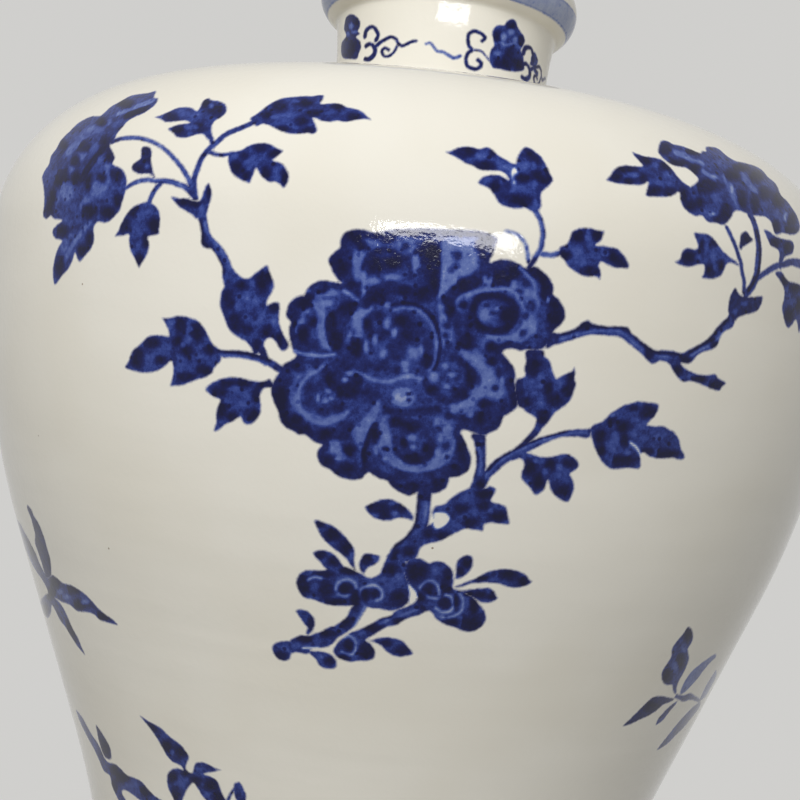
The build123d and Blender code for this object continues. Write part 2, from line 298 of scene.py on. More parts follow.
PEONY = [
    area(MID, *PEONY_OUTLINE),
    # the light middles of the petals, clockwise from the top
    vein(
        WASH, 10, (361, 276), (358, 262), (362, 250), (374, 243), (390, 241), (406, 245),
        (418, 254), (424, 270),
    ),
    vein(
        WASH, 12, (459, 304), (466, 293), (480, 287), (500, 283), (520, 287), (532, 298),
        (534, 314), (528, 330), (510, 341), (486, 343),
    ),
    vein(WASH, 13, (444, 306), (446, 322), (447, 340)),
    vein(WASH, 15, (470, 355), (483, 366), (490, 382), (485, 400), (468, 411), (448, 418)),
    *spots(PALE, (498, 390, 9, 9), (478, 395, 8, 7)),
    *spots(PALE, (403, 397, 13, 10)),
    vein(
        WASH, 10, (391, 414), (383, 428), (382, 444), (392, 459), (408, 466), (428, 466),
        (445, 458), (451, 444), (447, 430),
    ),
    vein(WASH, 9, (342, 456), (336, 446), (330, 440)),
    vein(WASH, 10, (290, 384), (297, 374), (309, 369)),
    vein(WASH, 9, (293, 396), (298, 408), (310, 417), (326, 421), (342, 416)),
    vein(WASH, 9, (318, 299), (321, 312), (321, 328), (325, 345)),
    vein(WASH, 7, (302, 312), (298, 325), (300, 340)),
    vein(WASH, 9, (352, 310), (360, 326), (357, 340)),
    # the dark rim of the whole flower
    vein(DARK, 15, *PEONY_OUTLINE, PEONY_OUTLINE[0]),
    # petals at the upper left
    vein(
        PALE, 4, (308, 291), (311, 298), (314, 304), (319, 310), (323, 316), (323, 325), (321, 335),
        (324, 343), (330, 349),
    ),
    *spots(
        PALE, (329, 293, 11, 4), (327, 303, 8, 4), (301, 321, 4), (307, 311, 3), (298, 330, 3, 7),
    ),
    *spots(
        DEEP, (321, 289, 6, 4), (303, 303, 6), (309, 297, 4), (303, 335, 6, 8), (313, 322, 3, 5),
    ),
    *spots(DARK, (296, 314, 5), (312, 345, 6, 5), (318, 288, 8, 3), (296, 345, 4, 6)),
    vein(BARE, 3, (295, 351), (303, 354), (312, 355), (322, 356), (335, 354)),
    area(
        DARK, (330, 313), (338, 309), (345, 304), (352, 302), (358, 303), (356, 310), (350, 318),
        (345, 327), (343, 337), (342, 346), (337, 351), (332, 347), (327, 338), (325, 327),
        (326, 318),
    ),
    *spots(DEEP, (347, 308, 7, 5), (337, 340, 5, 9), (333, 322, 4, 7)),
    *spots(PALE, (357, 325, 6, 7), (362, 313, 6), (368, 308, 5), (350, 338, 3, 8)),
    vein(BARE, 4, (344, 291), (350, 294), (357, 299)),
    # the back petals at the top
    *spots(DEEP, (353, 238, 8, 6), (341, 266, 8, 9), (362, 247, 5), (353, 284, 6, 5)),
    *spots(DARK, (345, 250, 7, 9), (358, 292, 5)),
    *spots(WASH, (357, 270, 5, 12), (357, 258, 4, 7)),
    vein(PALE, 4, (362, 252), (363, 264), (364, 280), (364, 297)),
    vein(
        DARK, 5, (363, 268), (366, 260), (372, 254), (380, 251), (390, 251), (398, 254), (405, 260),
        (410, 268), (412, 276),
    ),
    *spots(DEEP, (374, 265, 7), (393, 262, 8, 6)),
    *spots(PALE, (392, 277, 10, 4), (374, 281, 6, 4), (416, 262, 4, 14), (404, 240, 14, 4)),
    *spots(DARK, (405, 247, 4), (416, 252, 3), (420, 271, 3), (388, 240, 8, 4)),
    vein(
        DARK, 12, (366, 303), (372, 295), (380, 290), (390, 287), (400, 289), (412, 293),
        (422, 297), (430, 296),
    ),
    *spots(DEEP, (376, 297, 8, 6), (404, 291, 8, 4), (425, 292, 6, 5)),
    *spots(PALE, (388, 305, 5, 4), (423, 309, 4, 3)),
    area(
        DARK, (425, 240), (420, 248), (419, 257), (421, 267), (424, 276), (426, 285), (431, 291),
        (433, 299), (437, 296), (439, 288), (440, 275), (440, 262), (439, 250), (436, 242),
    ),
    *spots(DEEP, (432, 256, 6, 12), (434, 280, 4, 9)),
    area(
        PALE, (443, 240), (441, 256), (442, 272), (440, 288), (438, 299), (448, 292), (458, 284),
        (470, 274), (482, 264), (489, 254), (494, 243), (480, 238), (460, 237),
    ),
    *spots(MID, (457, 256, 6), (456, 266, 5, 4), (451, 270, 4)),
    *spots(WASH, (447, 262, 3), (467, 257, 4, 3)),
    *spots(DARK, (485, 245, 11, 7), (483, 260, 4, 9), (457, 255, 4, 3)),
    # the upper right petals and their cup
    vein(DARK, 12, (447, 300), (456, 291), (466, 285), (478, 279), (490, 270)),
    *spots(DEEP, (468, 284, 11, 6), (503, 278, 12, 8), (514, 270, 8, 4)),
    *spots(PALE, (485, 280, 3, 5), (514, 284, 4, 5)),
    *spots(DARK, (526, 284, 4), (519, 292, 4, 3), (535, 275, 7, 6)),
    *spots(WASH, (528, 298, 5, 6)),
    vein(DEEP, 9, (533, 272), (541, 277), (546, 286), (545, 296)),
    vein(PALE, 4, (520, 268), (528, 276), (534, 284), (535, 294)),
    *spots(DEEP, (556, 318, 7, 9), (553, 304, 6, 5)),
    *spots(MID, (541, 315, 6, 8), (545, 335, 5), (531, 345, 8, 3)),
    vein(
        PALE, 4, (455, 305), (463, 298), (475, 292), (490, 290), (505, 289), (514, 292), (521, 302),
        (525, 314), (523, 327), (514, 336), (503, 338), (488, 336),
    ),
    *spots(PALE, (533, 328, 4, 7), (548, 300, 2, 4)),
    *spots(DARK, (532, 306, 4, 5), (525, 316, 3), (523, 333, 3), (509, 345, 3), (540, 341, 4)),
    vein(
        DEEP, 7, (476, 301), (482, 297), (490, 296), (498, 296), (506, 299), (513, 305),
        (515, 314), (513, 322), (506, 328), (497, 331), (487, 330), (479, 326), (474, 318),
        (473, 309), (476, 301),
    ),
    *spots(WASH, (487, 313, 9, 10)),
    *spots(PALE, (484, 316, 5, 6), (497, 309, 3)),
    *spots(DARK, (487, 305, 3, 2), (493, 313, 3, 2)),
    *spots(DEEP, (508, 313, 6, 10, 20), (451, 310, 5, 9), (467, 341, 7, 8), (463, 305, 4)),
    *spots(DARK, (469, 323, 5, 8), (458, 322, 4, 9)),
    *spots(WASH, (445, 333, 7, 16)),
    *spots(PALE, (443, 318, 4, 5), (440, 345, 4, 7)),
    *spots(DARK, (447, 326, 4, 3), (446, 336, 3), (449, 345, 3)),
    # the heart of the flower
    vein(
        DEEP, 3, (392, 305), (402, 303), (414, 304), (425, 310), (433, 319), (438, 331), (440, 345),
        (438, 360), (433, 371),
    ),
    vein(
        PALE, 3, (394, 310), (405, 308), (418, 311), (427, 318), (433, 328), (436, 339), (436, 350),
        (434, 362), (429, 370),
    ),
    *spots(
        DEEP, (409, 333, 8, 7), (401, 321, 7, 5), (368, 325, 4, 7), (356, 348, 6, 9),
        (427, 361, 5, 6), (379, 316, 5, 4),
    ),
    *spots(
        DARK, (418, 330, 6), (384, 333, 5, 7), (392, 345, 6), (371, 334, 4, 6), (397, 356, 6, 4),
        (428, 345, 4, 7),
    ),
    *spots(
        PALE, (387, 324, 4, 7), (394, 333, 3, 5), (366, 347, 3, 7), (383, 353, 4, 6),
        (375, 340, 3, 7), (421, 350, 3, 6),
    ),
    *spots(PALE, (413, 353, 7, 7), (405, 364, 5, 4)),
    *spots(DARK, (375, 366, 13, 5), (402, 346, 3, 5)),
    *spots(PALE, (410, 376, 8, 3), (405, 370, 5, 3)),
    vein(
        PALE, 4, (355, 372), (365, 376), (375, 380), (387, 382), (400, 378), (411, 376),
        (421, 379),
    ),
    *spots(DARK, (348, 362, 7, 5), (395, 370, 5, 3)),
    # the lower left petals
    *spots(DARK, (300, 368, 7, 5), (316, 364, 6, 4), (287, 380, 6), (327, 372, 5, 7)),
    *spots(
        DEEP, (281, 398, 6, 11), (293, 421, 8, 6), (327, 434, 8, 5), (303, 429, 7, 4),
        (283, 412, 4, 6),
    ),
    vein(
        PALE, 4, (325, 365), (316, 371), (307, 377), (300, 387), (298, 398), (299, 408), (306, 415),
        (314, 421), (323, 423), (332, 421), (340, 417), (348, 412),
    ),
    *spots(DARK, (310, 401, 5, 7), (324, 410, 6, 5), (312, 388, 5), (338, 408, 5, 4)),
    *spots(PALE, (328, 391, 4, 3), (331, 398, 3), (325, 401, 4, 3), (318, 398, 2, 5)),
    area(
        DARK, (335, 360), (326, 367), (324, 378), (329, 388), (338, 394), (348, 397), (357, 394),
        (362, 385), (359, 376), (350, 369), (342, 362),
    ),
    *spots(DEEP, (347, 391, 9, 6), (358, 381, 4, 5), (331, 379, 4, 7)),
    *spots(PALE, (350, 373, 5, 3), (345, 380, 4, 3)),
    *spots(DARK, (347, 368, 2), (372, 394, 8, 7), (346, 427, 7, 4), (340, 436, 8, 4)),
    area(
        WASH, (380, 400), (375, 403), (370, 411), (362, 420), (354, 428), (351, 435), (357, 444),
        (360, 452), (361, 462), (365, 455), (365, 444), (368, 433), (373, 424), (378, 414),
    ),
    *spots(PALE, (360, 434, 3, 9, 15)),
    *spots(DEEP, (347, 468, 8, 5), (327, 461, 7, 5), (349, 450, 5)),
    *spots(PALE, (334, 450, 5, 4), (338, 459, 4, 2)),
    # the petals at the bottom
    vein(DEEP, 5, (375, 425), (368, 439), (364, 454), (366, 467)),
    *spots(DEEP, (375, 435, 4, 7), (410, 426, 9, 5), (396, 421, 6, 5)),
    vein(DARK, 7, (386, 411), (400, 413), (418, 412), (438, 409)),
    area(
        PALE, (392, 403), (391, 397), (394, 391), (401, 388), (408, 389), (413, 394), (414, 401),
        (410, 406), (401, 407),
    ),
    *spots(BARE, (401, 397, 7, 5)),
    *spots(DARK, (408, 394, 1.8), (409, 400, 1.8)),
    *spots(WASH, (387, 441, 6, 15), (376, 450, 3, 5)),
    *spots(PALE, (387, 434, 3, 6), (385, 458, 3)),
    *spots(DARK, (385, 449, 3, 2), (393, 480, 6, 4), (368, 466, 3, 4), (403, 475, 7, 3)),
    vein(
        DARK, 6, (395, 438), (396, 450), (402, 457), (410, 462), (420, 461), (428, 457), (433, 449),
        (431, 440), (424, 434),
    ),
    *spots(DEEP, (428, 449, 5, 6), (413, 458, 9, 4), (404, 443, 3, 5)),
    *spots(
        PALE, (412, 438, 6, 4), (413, 447, 4, 3), (440, 438, 3, 5), (438, 453, 4, 5),
        (436, 462, 3),
    ),
    *spots(PALE, (437, 423, 4, 6), (450, 428, 4, 3)),
    *spots(DEEP, (462, 450, 5, 10), (412, 487, 7, 4), (438, 484, 5, 5), (455, 468, 6, 4)),
    *spots(
        DARK, (447, 473, 5, 4), (447, 446, 3, 4), (450, 415, 6, 4), (447, 457, 2), (440, 430, 2),
        (424, 487, 5, 4),
    ),
    vein(PALE, 3, (392, 463), (404, 469), (418, 470), (432, 468), (442, 464)),
    *spots(DARK, (432, 475, 3), (378, 470, 4, 3)),
    # the right petals and their cup
    vein(
        DARK, 7, (453, 358), (463, 363), (471, 371), (474, 381), (471, 391), (463, 397), (454, 401),
        (446, 400), (437, 396), (430, 390), (426, 382),
    ),
    *spots(DEEP, (460, 393, 7, 5), (470, 379, 4, 7), (432, 390, 5, 4)),
    *spots(PALE, (434, 377, 6), (445, 366, 4), (452, 375, 5, 3), (446, 386, 5, 3)),
    *spots(MID, (448, 378, 3, 2), (441, 386, 3, 2), (457, 383, 4, 5)),
    vein(
        PALE, 6, (462, 352), (474, 358), (482, 366), (486, 377), (482, 389), (474, 398), (463, 405),
        (454, 411),
    ),
    *spots(PALE, (476, 393, 8, 8), (489, 375, 4, 8), (470, 403, 7, 3)),
    *spots(
        DEEP, (492, 347, 6, 5), (486, 404, 7, 5), (481, 418, 8, 6), (514, 397, 3, 7),
        (493, 361, 5, 4),
    ),
    *spots(
        DARK, (508, 366, 4, 6), (511, 384, 4, 8), (463, 420, 7, 5), (495, 425, 6, 4),
        (505, 408, 6, 5), (490, 413, 5),
    ),
    *spots(DARK, (495, 388, 3), (499, 372, 3, 5)),
    *spots(PALE, (502, 381, 3, 5), (470, 415, 4, 3), (453, 406, 4, 3), (498, 397, 4, 2)),
]

UPPER_LEFT_FLOWER = [
    area(
        MID, (156, 91), (154, 97), (158, 99), (154, 106), (144, 113), (135, 117), (128, 121),
        (122, 128), (117, 134), (115, 139), (110, 145), (113, 152), (115, 158), (113, 163),
        (116, 166), (121, 168), (125, 173), (127, 182), (125, 193), (122, 203), (120, 210),
        (115, 216), (110, 221), (104, 223), (98, 222), (94, 227), (94, 235), (94, 241), (91, 249),
        (85, 256), (80, 262), (77, 258), (75, 253), (73, 259), (69, 268), (62, 276), (55, 285),
        (53, 277), (53, 268), (55, 257), (58, 248), (62, 241), (56, 239), (53, 235), (53, 229),
        (58, 224), (62, 220), (54, 219), (51, 216), (46, 219), (43, 215), (44, 205), (44, 194),
        (43, 184), (42, 177), (45, 170), (49, 164), (51, 156), (56, 149), (61, 140), (70, 131),
        (77, 124), (85, 119), (93, 116), (100, 116), (106, 111), (112, 106), (121, 101), (130, 96),
        (139, 94), (148, 93),
    ),
    vein(PALE, 4, (120, 113), (128, 110), (136, 107), (144, 104), (151, 101)),
    vein(WASH, 6, (70, 150), (82, 138), (94, 129), (106, 124)),
    vein(WASH, 5, (56, 200), (62, 184), (72, 168), (84, 154)),
    vein(WASH, 6, (82, 206), (92, 192), (102, 178), (108, 164)),
    vein(WASH, 4, (64, 262), (72, 246), (82, 232), (90, 222)),
    *spots(
        DEEP, (124, 103, 8, 4), (101, 122, 5, 4), (104, 142, 5, 6), (60, 178, 8, 9),
        (60, 266, 4, 10),
    ),
    *spots(
        DEEP, (84, 146, 6, 5), (107, 212, 7, 5), (88, 212, 7, 6), (110, 156, 4, 6),
        (50, 206, 4, 8),
    ),
    vein(DEEP, 5, (128, 115), (136, 112), (145, 109)),
    vein(DEEP, 6, (102, 150), (95, 159), (88, 168), (83, 177)),
    *spots(
        SHEEN, (85, 133, 5, 4), (78, 139, 4), (95, 146, 3, 5), (100, 160, 3, 5), (103, 169, 3, 4),
    ),
    *spots(
        SHEEN, (91, 151, 2, 5), (103, 188, 5, 4), (98, 196, 4, 3), (90, 197, 4), (68, 195, 5),
        (74, 208, 4),
    ),
    *spots(
        WASH, (92, 130, 10, 4), (66, 190, 8, 12), (96, 190, 12, 8), (108, 178, 4, 7),
        (64, 246, 4, 8),
    ),
    *spots(
        DEEP, (63, 145, 4), (75, 161, 4, 5), (76, 178, 4, 6), (88, 183, 3, 8), (116, 176, 5),
        (102, 178, 4),
    ),
    *spots(
        DEEP, (62, 231, 6, 5), (82, 250, 4, 5), (90, 240, 4, 6), (118, 200, 4, 6), (53, 195, 3, 6),
    ),
    *spots(SHEEN, (64, 245, 2, 5), (72, 236, 4, 3), (60, 212, 3)),
]

UPPER_LEFT_STEMS = [
    stem(
        MID, (3.5, 6), (112, 142), (120, 139), (128, 138), (138, 138), (147, 140), (155, 143),
        (163, 148), (171, 155), (178, 163), (184, 171), (189, 180), (193, 190), (196, 198),
    ),
    stem(
        MID, (4, 7), (126, 188), (132, 184), (140, 181), (148, 180), (156, 181), (164, 181),
        (172, 182), (180, 185), (188, 189), (195, 197),
    ),
    stem(
        MID, (6, 5), (195, 194), (194, 180), (197, 170), (201, 160), (206, 152), (211, 147),
        (217, 142), (225, 135), (233, 131), (241, 128), (250, 124), (258, 120),
    ),
    stem(MID, (5, 5), (213, 147), (211, 138), (207, 133)),
    stem(MID, (5, 4), (210, 152), (219, 155), (230, 154)),
    area(
        DARK, (142, 147), (141, 154), (140, 159), (133, 164), (132, 170), (139, 174), (149, 174),
        (155, 178), (153, 170), (151, 160), (152, 152), (149, 147),
    ),
    area(
        MID, (171, 197), (180, 198), (187, 198), (192, 200), (200, 200), (204, 190), (208, 183),
        (211, 188), (212, 195), (210, 202), (208, 209), (206, 215), (197, 219), (192, 215),
        (184, 210), (178, 206),
    ),
    area(
        MID, (197, 214), (200, 226), (201, 237), (201, 244), (205, 248), (211, 249), (215, 254),
        (219, 261), (222, 268), (223, 280), (234, 290), (246, 281), (239, 275), (234, 270),
        (231, 264), (228, 256), (223, 248), (218, 242), (212, 236), (209, 228), (207, 218),
        (206, 208),
    ),
    vein(DEEP, 4, (200, 222), (202, 234), (203, 243), (211, 250), (218, 261), (223, 272)),
    vein(WASH, 3, (205, 222), (208, 234), (217, 245), (226, 258), (231, 268)),
    *spots(
        DEEP, (196, 203, 6, 4), (183, 202, 7, 3), (209, 192, 2, 7), (145, 151, 4),
        (137, 168, 5, 3),
    ),
    *spots(SHEEN, (201, 196, 4), (202, 209, 3, 5), (147, 166, 3)),
    vein(WASH, 2, (124, 138), (140, 138), (156, 143), (170, 154), (182, 167), (190, 183)),
    vein(WASH, 2.5, (134, 183), (150, 180), (168, 181), (184, 187)),
]

HANGING_LEAF = [
    stem(MID, (5, 5), (160, 184), (155, 190), (151, 197), (149, 203)),
    area(
        MID, (146, 202), (139, 204), (133, 207), (128, 212), (124, 218), (121, 224), (118, 231),
        (115, 236), (120, 236), (126, 235), (129, 235), (129, 243), (130, 250), (133, 256),
        (136, 262), (139, 268), (142, 263), (146, 257), (149, 249), (149, 243), (148, 237),
        (154, 235), (159, 234), (159, 230), (160, 223), (160, 215), (158, 209), (153, 204),
    ),
    *spots(
        DEEP, (125, 226, 5, 6), (154, 225, 5, 7), (139, 260, 4, 6), (133, 212, 6, 4),
        (146, 241, 3, 6),
    ),
    *spots(SHEEN, (141, 215, 5, 6), (140, 232, 3, 5), (148, 212, 4, 3)),
]

UPPER_CLUSTER = [
    area(
        MID, (155, 117), (161, 115), (170, 111), (177, 108), (185, 107), (192, 108), (197, 111),
        (200, 107), (203, 101), (208, 98), (212, 100), (219, 101), (225, 104), (227, 109),
        (225, 114), (220, 118), (215, 121), (212, 126), (212, 133), (213, 140), (208, 140),
        (205, 136), (200, 134), (192, 136), (185, 138), (177, 137), (173, 133), (168, 129),
        (174, 126), (181, 124), (190, 123), (186, 121), (179, 121), (172, 122), (165, 122),
        (160, 119),
    ),
    *spots(
        DEEP, (206, 104, 4, 5), (217, 110, 6, 5), (170, 117, 7, 4), (179, 130, 6, 4),
        (200, 128, 6, 4),
    ),
    *spots(SHEEN, (197, 113, 4), (187, 127, 4, 3), (196, 127, 3), (186, 113, 5, 3), (211, 106, 3)),
]

UPPER_RIGHT_LEAF = [
    area(
        MID, (250, 119), (255, 115), (262, 110), (268, 105), (275, 101), (283, 98), (292, 97),
        (303, 96), (312, 96), (323, 95), (323, 99), (321, 104), (333, 103), (341, 104), (347, 107),
        (356, 109), (363, 112), (367, 116), (371, 120), (364, 119), (358, 120), (352, 121),
        (345, 122), (338, 121), (330, 122), (322, 121), (313, 118), (316, 125), (317, 131),
        (313, 134), (308, 133), (300, 134), (291, 134), (283, 132), (276, 129), (270, 126),
        (263, 124), (256, 126),
    ),
    *spots(
        DEEP, (280, 106, 6, 5), (305, 103, 7, 4), (313, 113, 6, 3), (301, 121, 6, 4),
        (308, 130, 6, 3),
    ),
    *spots(DEEP, (282, 129, 7, 3), (353, 117, 6, 4), (338, 106, 6, 3), (267, 115, 5, 3)),
    *spots(
        SHEEN, (288, 115, 7, 3), (296, 101, 5, 2), (330, 113, 7, 2), (290, 124, 4, 2),
        (274, 117, 4, 2),
    ),
]

SMALL_RIGHT_CLUSTER = [
    area(
        MID, (229, 152), (237, 151), (243, 149), (248, 146), (253, 144), (260, 143), (266, 143),
        (272, 145), (277, 148), (283, 151), (278, 156), (273, 160), (279, 162), (284, 165),
        (287, 170), (289, 176), (288, 182), (284, 188), (280, 185), (275, 182), (269, 182),
        (264, 179), (259, 173), (256, 168), (254, 172), (252, 178), (250, 183), (246, 182),
        (241, 180), (236, 177), (231, 172), (229, 166), (228, 160),
    ),
    *spots(
        DEEP, (261, 147, 7, 4), (237, 168, 5, 7), (246, 175, 4), (275, 153, 5, 3),
        (285, 177, 3, 7),
    ),
    *spots(DEEP, (266, 173, 4, 5), (244, 156, 4, 3)),
    *spots(
        SHEEN, (234, 156, 4, 3), (254, 157, 4, 3), (262, 157, 4), (256, 163, 4, 3),
        (275, 170, 3, 4),
    ),
]

PEONY_LEAF_LEFT = [
    stem(DARK, (8, 8), (266, 362), (262, 350), (255, 340)),
    area(
        MID, (223, 279), (224, 286), (221, 292), (220, 300), (220, 306), (222, 312), (225, 320),
        (228, 328), (232, 333), (239, 338), (246, 342), (251, 348), (255, 355), (263, 349),
        (265, 341), (271, 338), (276, 343), (282, 351), (289, 346), (284, 335), (280, 325),
        (279, 317), (280, 309), (279, 303), (274, 302), (267, 305), (268, 299), (273, 291),
        (274, 283), (271, 275), (267, 265), (261, 269), (255, 273), (249, 278), (241, 278),
        (234, 276),
    ),
    *spots(
        DEEP, (228, 300, 6, 8), (235, 322, 6, 7), (263, 283, 5, 9), (274, 308, 5, 4),
        (241, 286, 5, 4),
    ),
    *spots(
        DEEP, (267, 331, 6, 5), (257, 345, 4, 5), (247, 330, 5, 4), (270, 276, 3, 6),
        (280, 340, 4, 6),
    ),
    *spots(
        SHEEN, (238, 307, 4, 5), (247, 297, 4, 6), (252, 285, 3, 5), (262, 316, 6, 5),
        (275, 322, 3, 6),
    ),
    *spots(SHEEN, (246, 317, 4, 3), (256, 301, 4, 5)),
]

LEFT_LEAF = [
    stem(
        MID, (8, 8), (215, 352), (225, 354), (235, 354), (245, 355), (255, 357), (263, 360),
        (272, 364), (281, 370),
    ),
    area(
        MID, (219, 349), (213, 344), (209, 337), (206, 331), (202, 325), (197, 320), (191, 318),
        (184, 316), (176, 316), (169, 318), (162, 318), (165, 323), (168, 330), (169, 336),
        (162, 335), (155, 335), (149, 336), (144, 340), (139, 345), (133, 350), (130, 356),
        (128, 362), (125, 367), (130, 370), (137, 372), (145, 373), (153, 372), (159, 370),
        (164, 367), (171, 361), (173, 367), (173, 373), (172, 379), (170, 386), (176, 386),
        (184, 385), (191, 382), (197, 380), (206, 377), (212, 373), (215, 367), (221, 360),
    ),
    *spots(
        DEEP, (138, 358, 5, 9), (152, 343, 7, 4), (180, 325, 5, 8), (197, 333, 6, 8),
        (186, 351, 5, 4),
    ),
    *spots(
        DEEP, (185, 377, 8, 4), (204, 370, 7, 4), (160, 360, 6, 4), (178, 340, 4, 5),
        (210, 350, 5, 4),
    ),
    *spots(
        SHEEN, (188, 340, 5, 4), (190, 329, 4, 3), (183, 345, 3), (150, 357, 6, 4),
        (168, 347, 5, 4),
    ),
    *spots(SHEEN, (196, 356, 7, 3), (187, 364, 5, 3), (172, 322, 4, 3)),
    vein(WASH, 3, (222, 356), (236, 357), (252, 360), (268, 366)),
    vein(DEEP, 2.5, (218, 351), (236, 352), (254, 355), (270, 360)),
]

LOWER_LEFT_LEAF = [
    area(
        MID, (270, 379), (264, 381), (257, 381), (250, 380), (243, 378), (236, 377), (228, 377),
        (220, 379), (213, 382), (209, 385), (205, 389), (208, 393), (213, 397), (220, 400),
        (217, 408), (216, 415), (216, 422), (214, 431), (219, 430), (225, 425), (234, 421),
        (240, 417), (243, 422), (247, 425), (253, 423), (258, 418), (261, 411), (261, 404),
        (260, 397), (262, 391), (266, 388), (274, 387),
    ),
    *spots(
        DEEP, (219, 391, 7, 4), (226, 384, 6, 3), (222, 410, 4, 7), (232, 417, 5, 4),
        (243, 383, 7, 4),
    ),
    *spots(DEEP, (256, 395, 4, 6), (253, 415, 6, 5), (264, 385, 6, 3)),
    *spots(SHEEN, (235, 389, 6, 4), (228, 401, 5, 3), (238, 405, 4, 5), (247, 396, 4, 5)),
]

RIGHT_LEAF = [
    stem(DARK, (8, 6), (541, 418), (537, 430), (530, 438), (522, 446), (514, 452)),
    area(
        MID, (526, 350), (543, 350), (545, 356), (550, 361), (552, 368), (556, 378), (561, 376),
        (567, 373), (572, 371), (575, 367), (575, 378), (576, 385), (574, 391), (571, 399),
        (566, 405), (559, 410), (554, 414), (550, 420), (545, 426), (537, 432), (531, 435),
        (535, 427), (536, 420), (533, 416), (526, 412), (522, 408), (518, 406), (515, 395),
        (515, 385), (517, 379), (521, 378), (525, 375), (524, 368), (526, 362),
    ),
    *spots(
        DEEP, (533, 366, 7, 9), (571, 380, 4, 8), (568, 391, 5), (555, 401, 7, 5),
        (543, 417, 5, 6),
    ),
    *spots(DEEP, (525, 402, 5, 4), (548, 389, 4, 6), (527, 444, 5, 4)),
    *spots(
        SHEEN, (541, 376, 4, 5), (541, 386, 3), (521, 384, 3, 4), (526, 393, 4, 3),
        (535, 393, 4, 3),
    ),
    *spots(SHEEN, (560, 384, 3, 5), (540, 403, 4, 3), (551, 372, 2, 5)),
]

UPPER_CENTRE_LEAVES = [
    stem(
        MID, (6, 6), (531, 206), (536, 212), (540, 219), (542, 226), (543, 234), (542, 241),
        (541, 248), (537, 255), (533, 262), (529, 268),
    ),
    area(
        MID, (446, 152), (450, 151), (455, 149), (460, 147), (466, 146), (473, 147), (479, 149),
        (486, 147), (492, 149), (497, 154), (505, 159), (515, 164), (517, 158), (520, 152),
        (525, 147), (530, 148), (536, 152), (541, 156), (544, 161), (547, 166), (550, 173),
        (553, 180), (549, 186), (543, 191), (541, 196), (541, 208), (533, 212), (525, 208),
        (518, 209), (507, 207), (499, 203), (495, 197), (492, 192), (488, 188), (478, 183),
        (483, 177), (490, 175), (499, 175), (509, 180), (505, 174), (499, 171), (490, 171),
        (480, 170), (473, 166), (465, 163), (457, 158),
    ),
    area(GAP, (513, 167), (511, 173), (512, 180), (514, 186), (518, 178), (517, 170)),
    *spots(
        DEEP, (467, 152, 8, 4), (484, 166, 9, 4), (493, 152, 3, 4), (495, 187, 5),
        (519, 200, 12, 5),
    ),
    *spots(
        DEEP, (532, 156, 8, 4, 40), (537, 175, 5), (545, 180, 5, 4), (522, 178, 7, 4),
        (548, 172, 3, 6),
    ),
    *spots(
        SHEEN, (481, 156, 7, 4), (498, 164, 5, 4), (489, 180, 5, 3), (515, 188, 5),
        (503, 182, 5, 3),
    ),
    *spots(
        SHEEN, (524, 166, 5), (534, 166, 3, 5), (535, 184, 3, 6), (535, 203, 3, 6),
        (508, 167, 6, 3),
    ),
    *spots(DARK, (506, 185, 3), (458, 152, 5, 3), (505, 197, 6, 4)),
    vein(PALE, 2.5, (536, 214), (541, 226), (541, 242), (535, 256)),
    stem(PALE, (5, 4), (529, 262), (527, 252), (526, 245), (522, 239), (516, 234), (506, 231)),
]

SMALL_LEAF_RIGHT = [
    stem(WASH, (6, 6), (542, 254), (551, 255), (560, 253)),
    area(
        MID, (559, 248), (565, 245), (568, 242), (570, 238), (572, 232), (575, 230), (580, 228),
        (590, 228), (597, 230), (604, 231), (603, 236), (601, 241), (596, 245), (604, 246),
        (611, 247), (618, 249), (622, 253), (627, 260), (629, 268), (622, 268), (616, 268),
        (610, 266), (601, 262), (599, 266), (601, 272), (600, 280), (596, 277), (590, 277),
        (583, 276), (577, 273), (571, 269), (567, 265), (564, 260), (560, 256),
    ),
    *spots(
        DEEP, (579, 237, 7, 5), (597, 236, 5, 4), (565, 256, 5, 4), (590, 271, 10, 4),
        (616, 259, 11, 5, 35),
    ),
    *spots(
        SHEEN, (588, 237, 4, 6), (577, 251, 5, 4), (593, 256, 4), (583, 264, 4, 3),
        (606, 254, 4, 3),
    ),
]

UPPER_RIGHT_LEAVES = [
    area(
        MID, (606, 180), (610, 176), (612, 172), (616, 168), (624, 165), (633, 166), (642, 166),
        (640, 162), (636, 158), (632, 152), (638, 154), (644, 156), (651, 157), (657, 158),
        (662, 160), (667, 164), (671, 168), (675, 173), (680, 179), (686, 184), (691, 188),
        (684, 193), (678, 192), (674, 195), (668, 197), (657, 197), (646, 196), (647, 189),
        (648, 182), (642, 185), (632, 185), (620, 184), (611, 182),
    ),
    *spots(
        DEEP, (617, 177, 5, 4), (629, 181, 6, 3), (643, 179, 4, 5), (645, 161, 6, 4),
        (666, 166, 6, 4),
    ),
    *spots(DEEP, (654, 190, 6, 5), (670, 192, 6, 4), (624, 169, 10, 3)),
    *spots(SHEEN, (633, 175, 8, 3), (655, 165, 4, 3), (667, 175, 5, 4), (660, 183, 5, 3)),
]

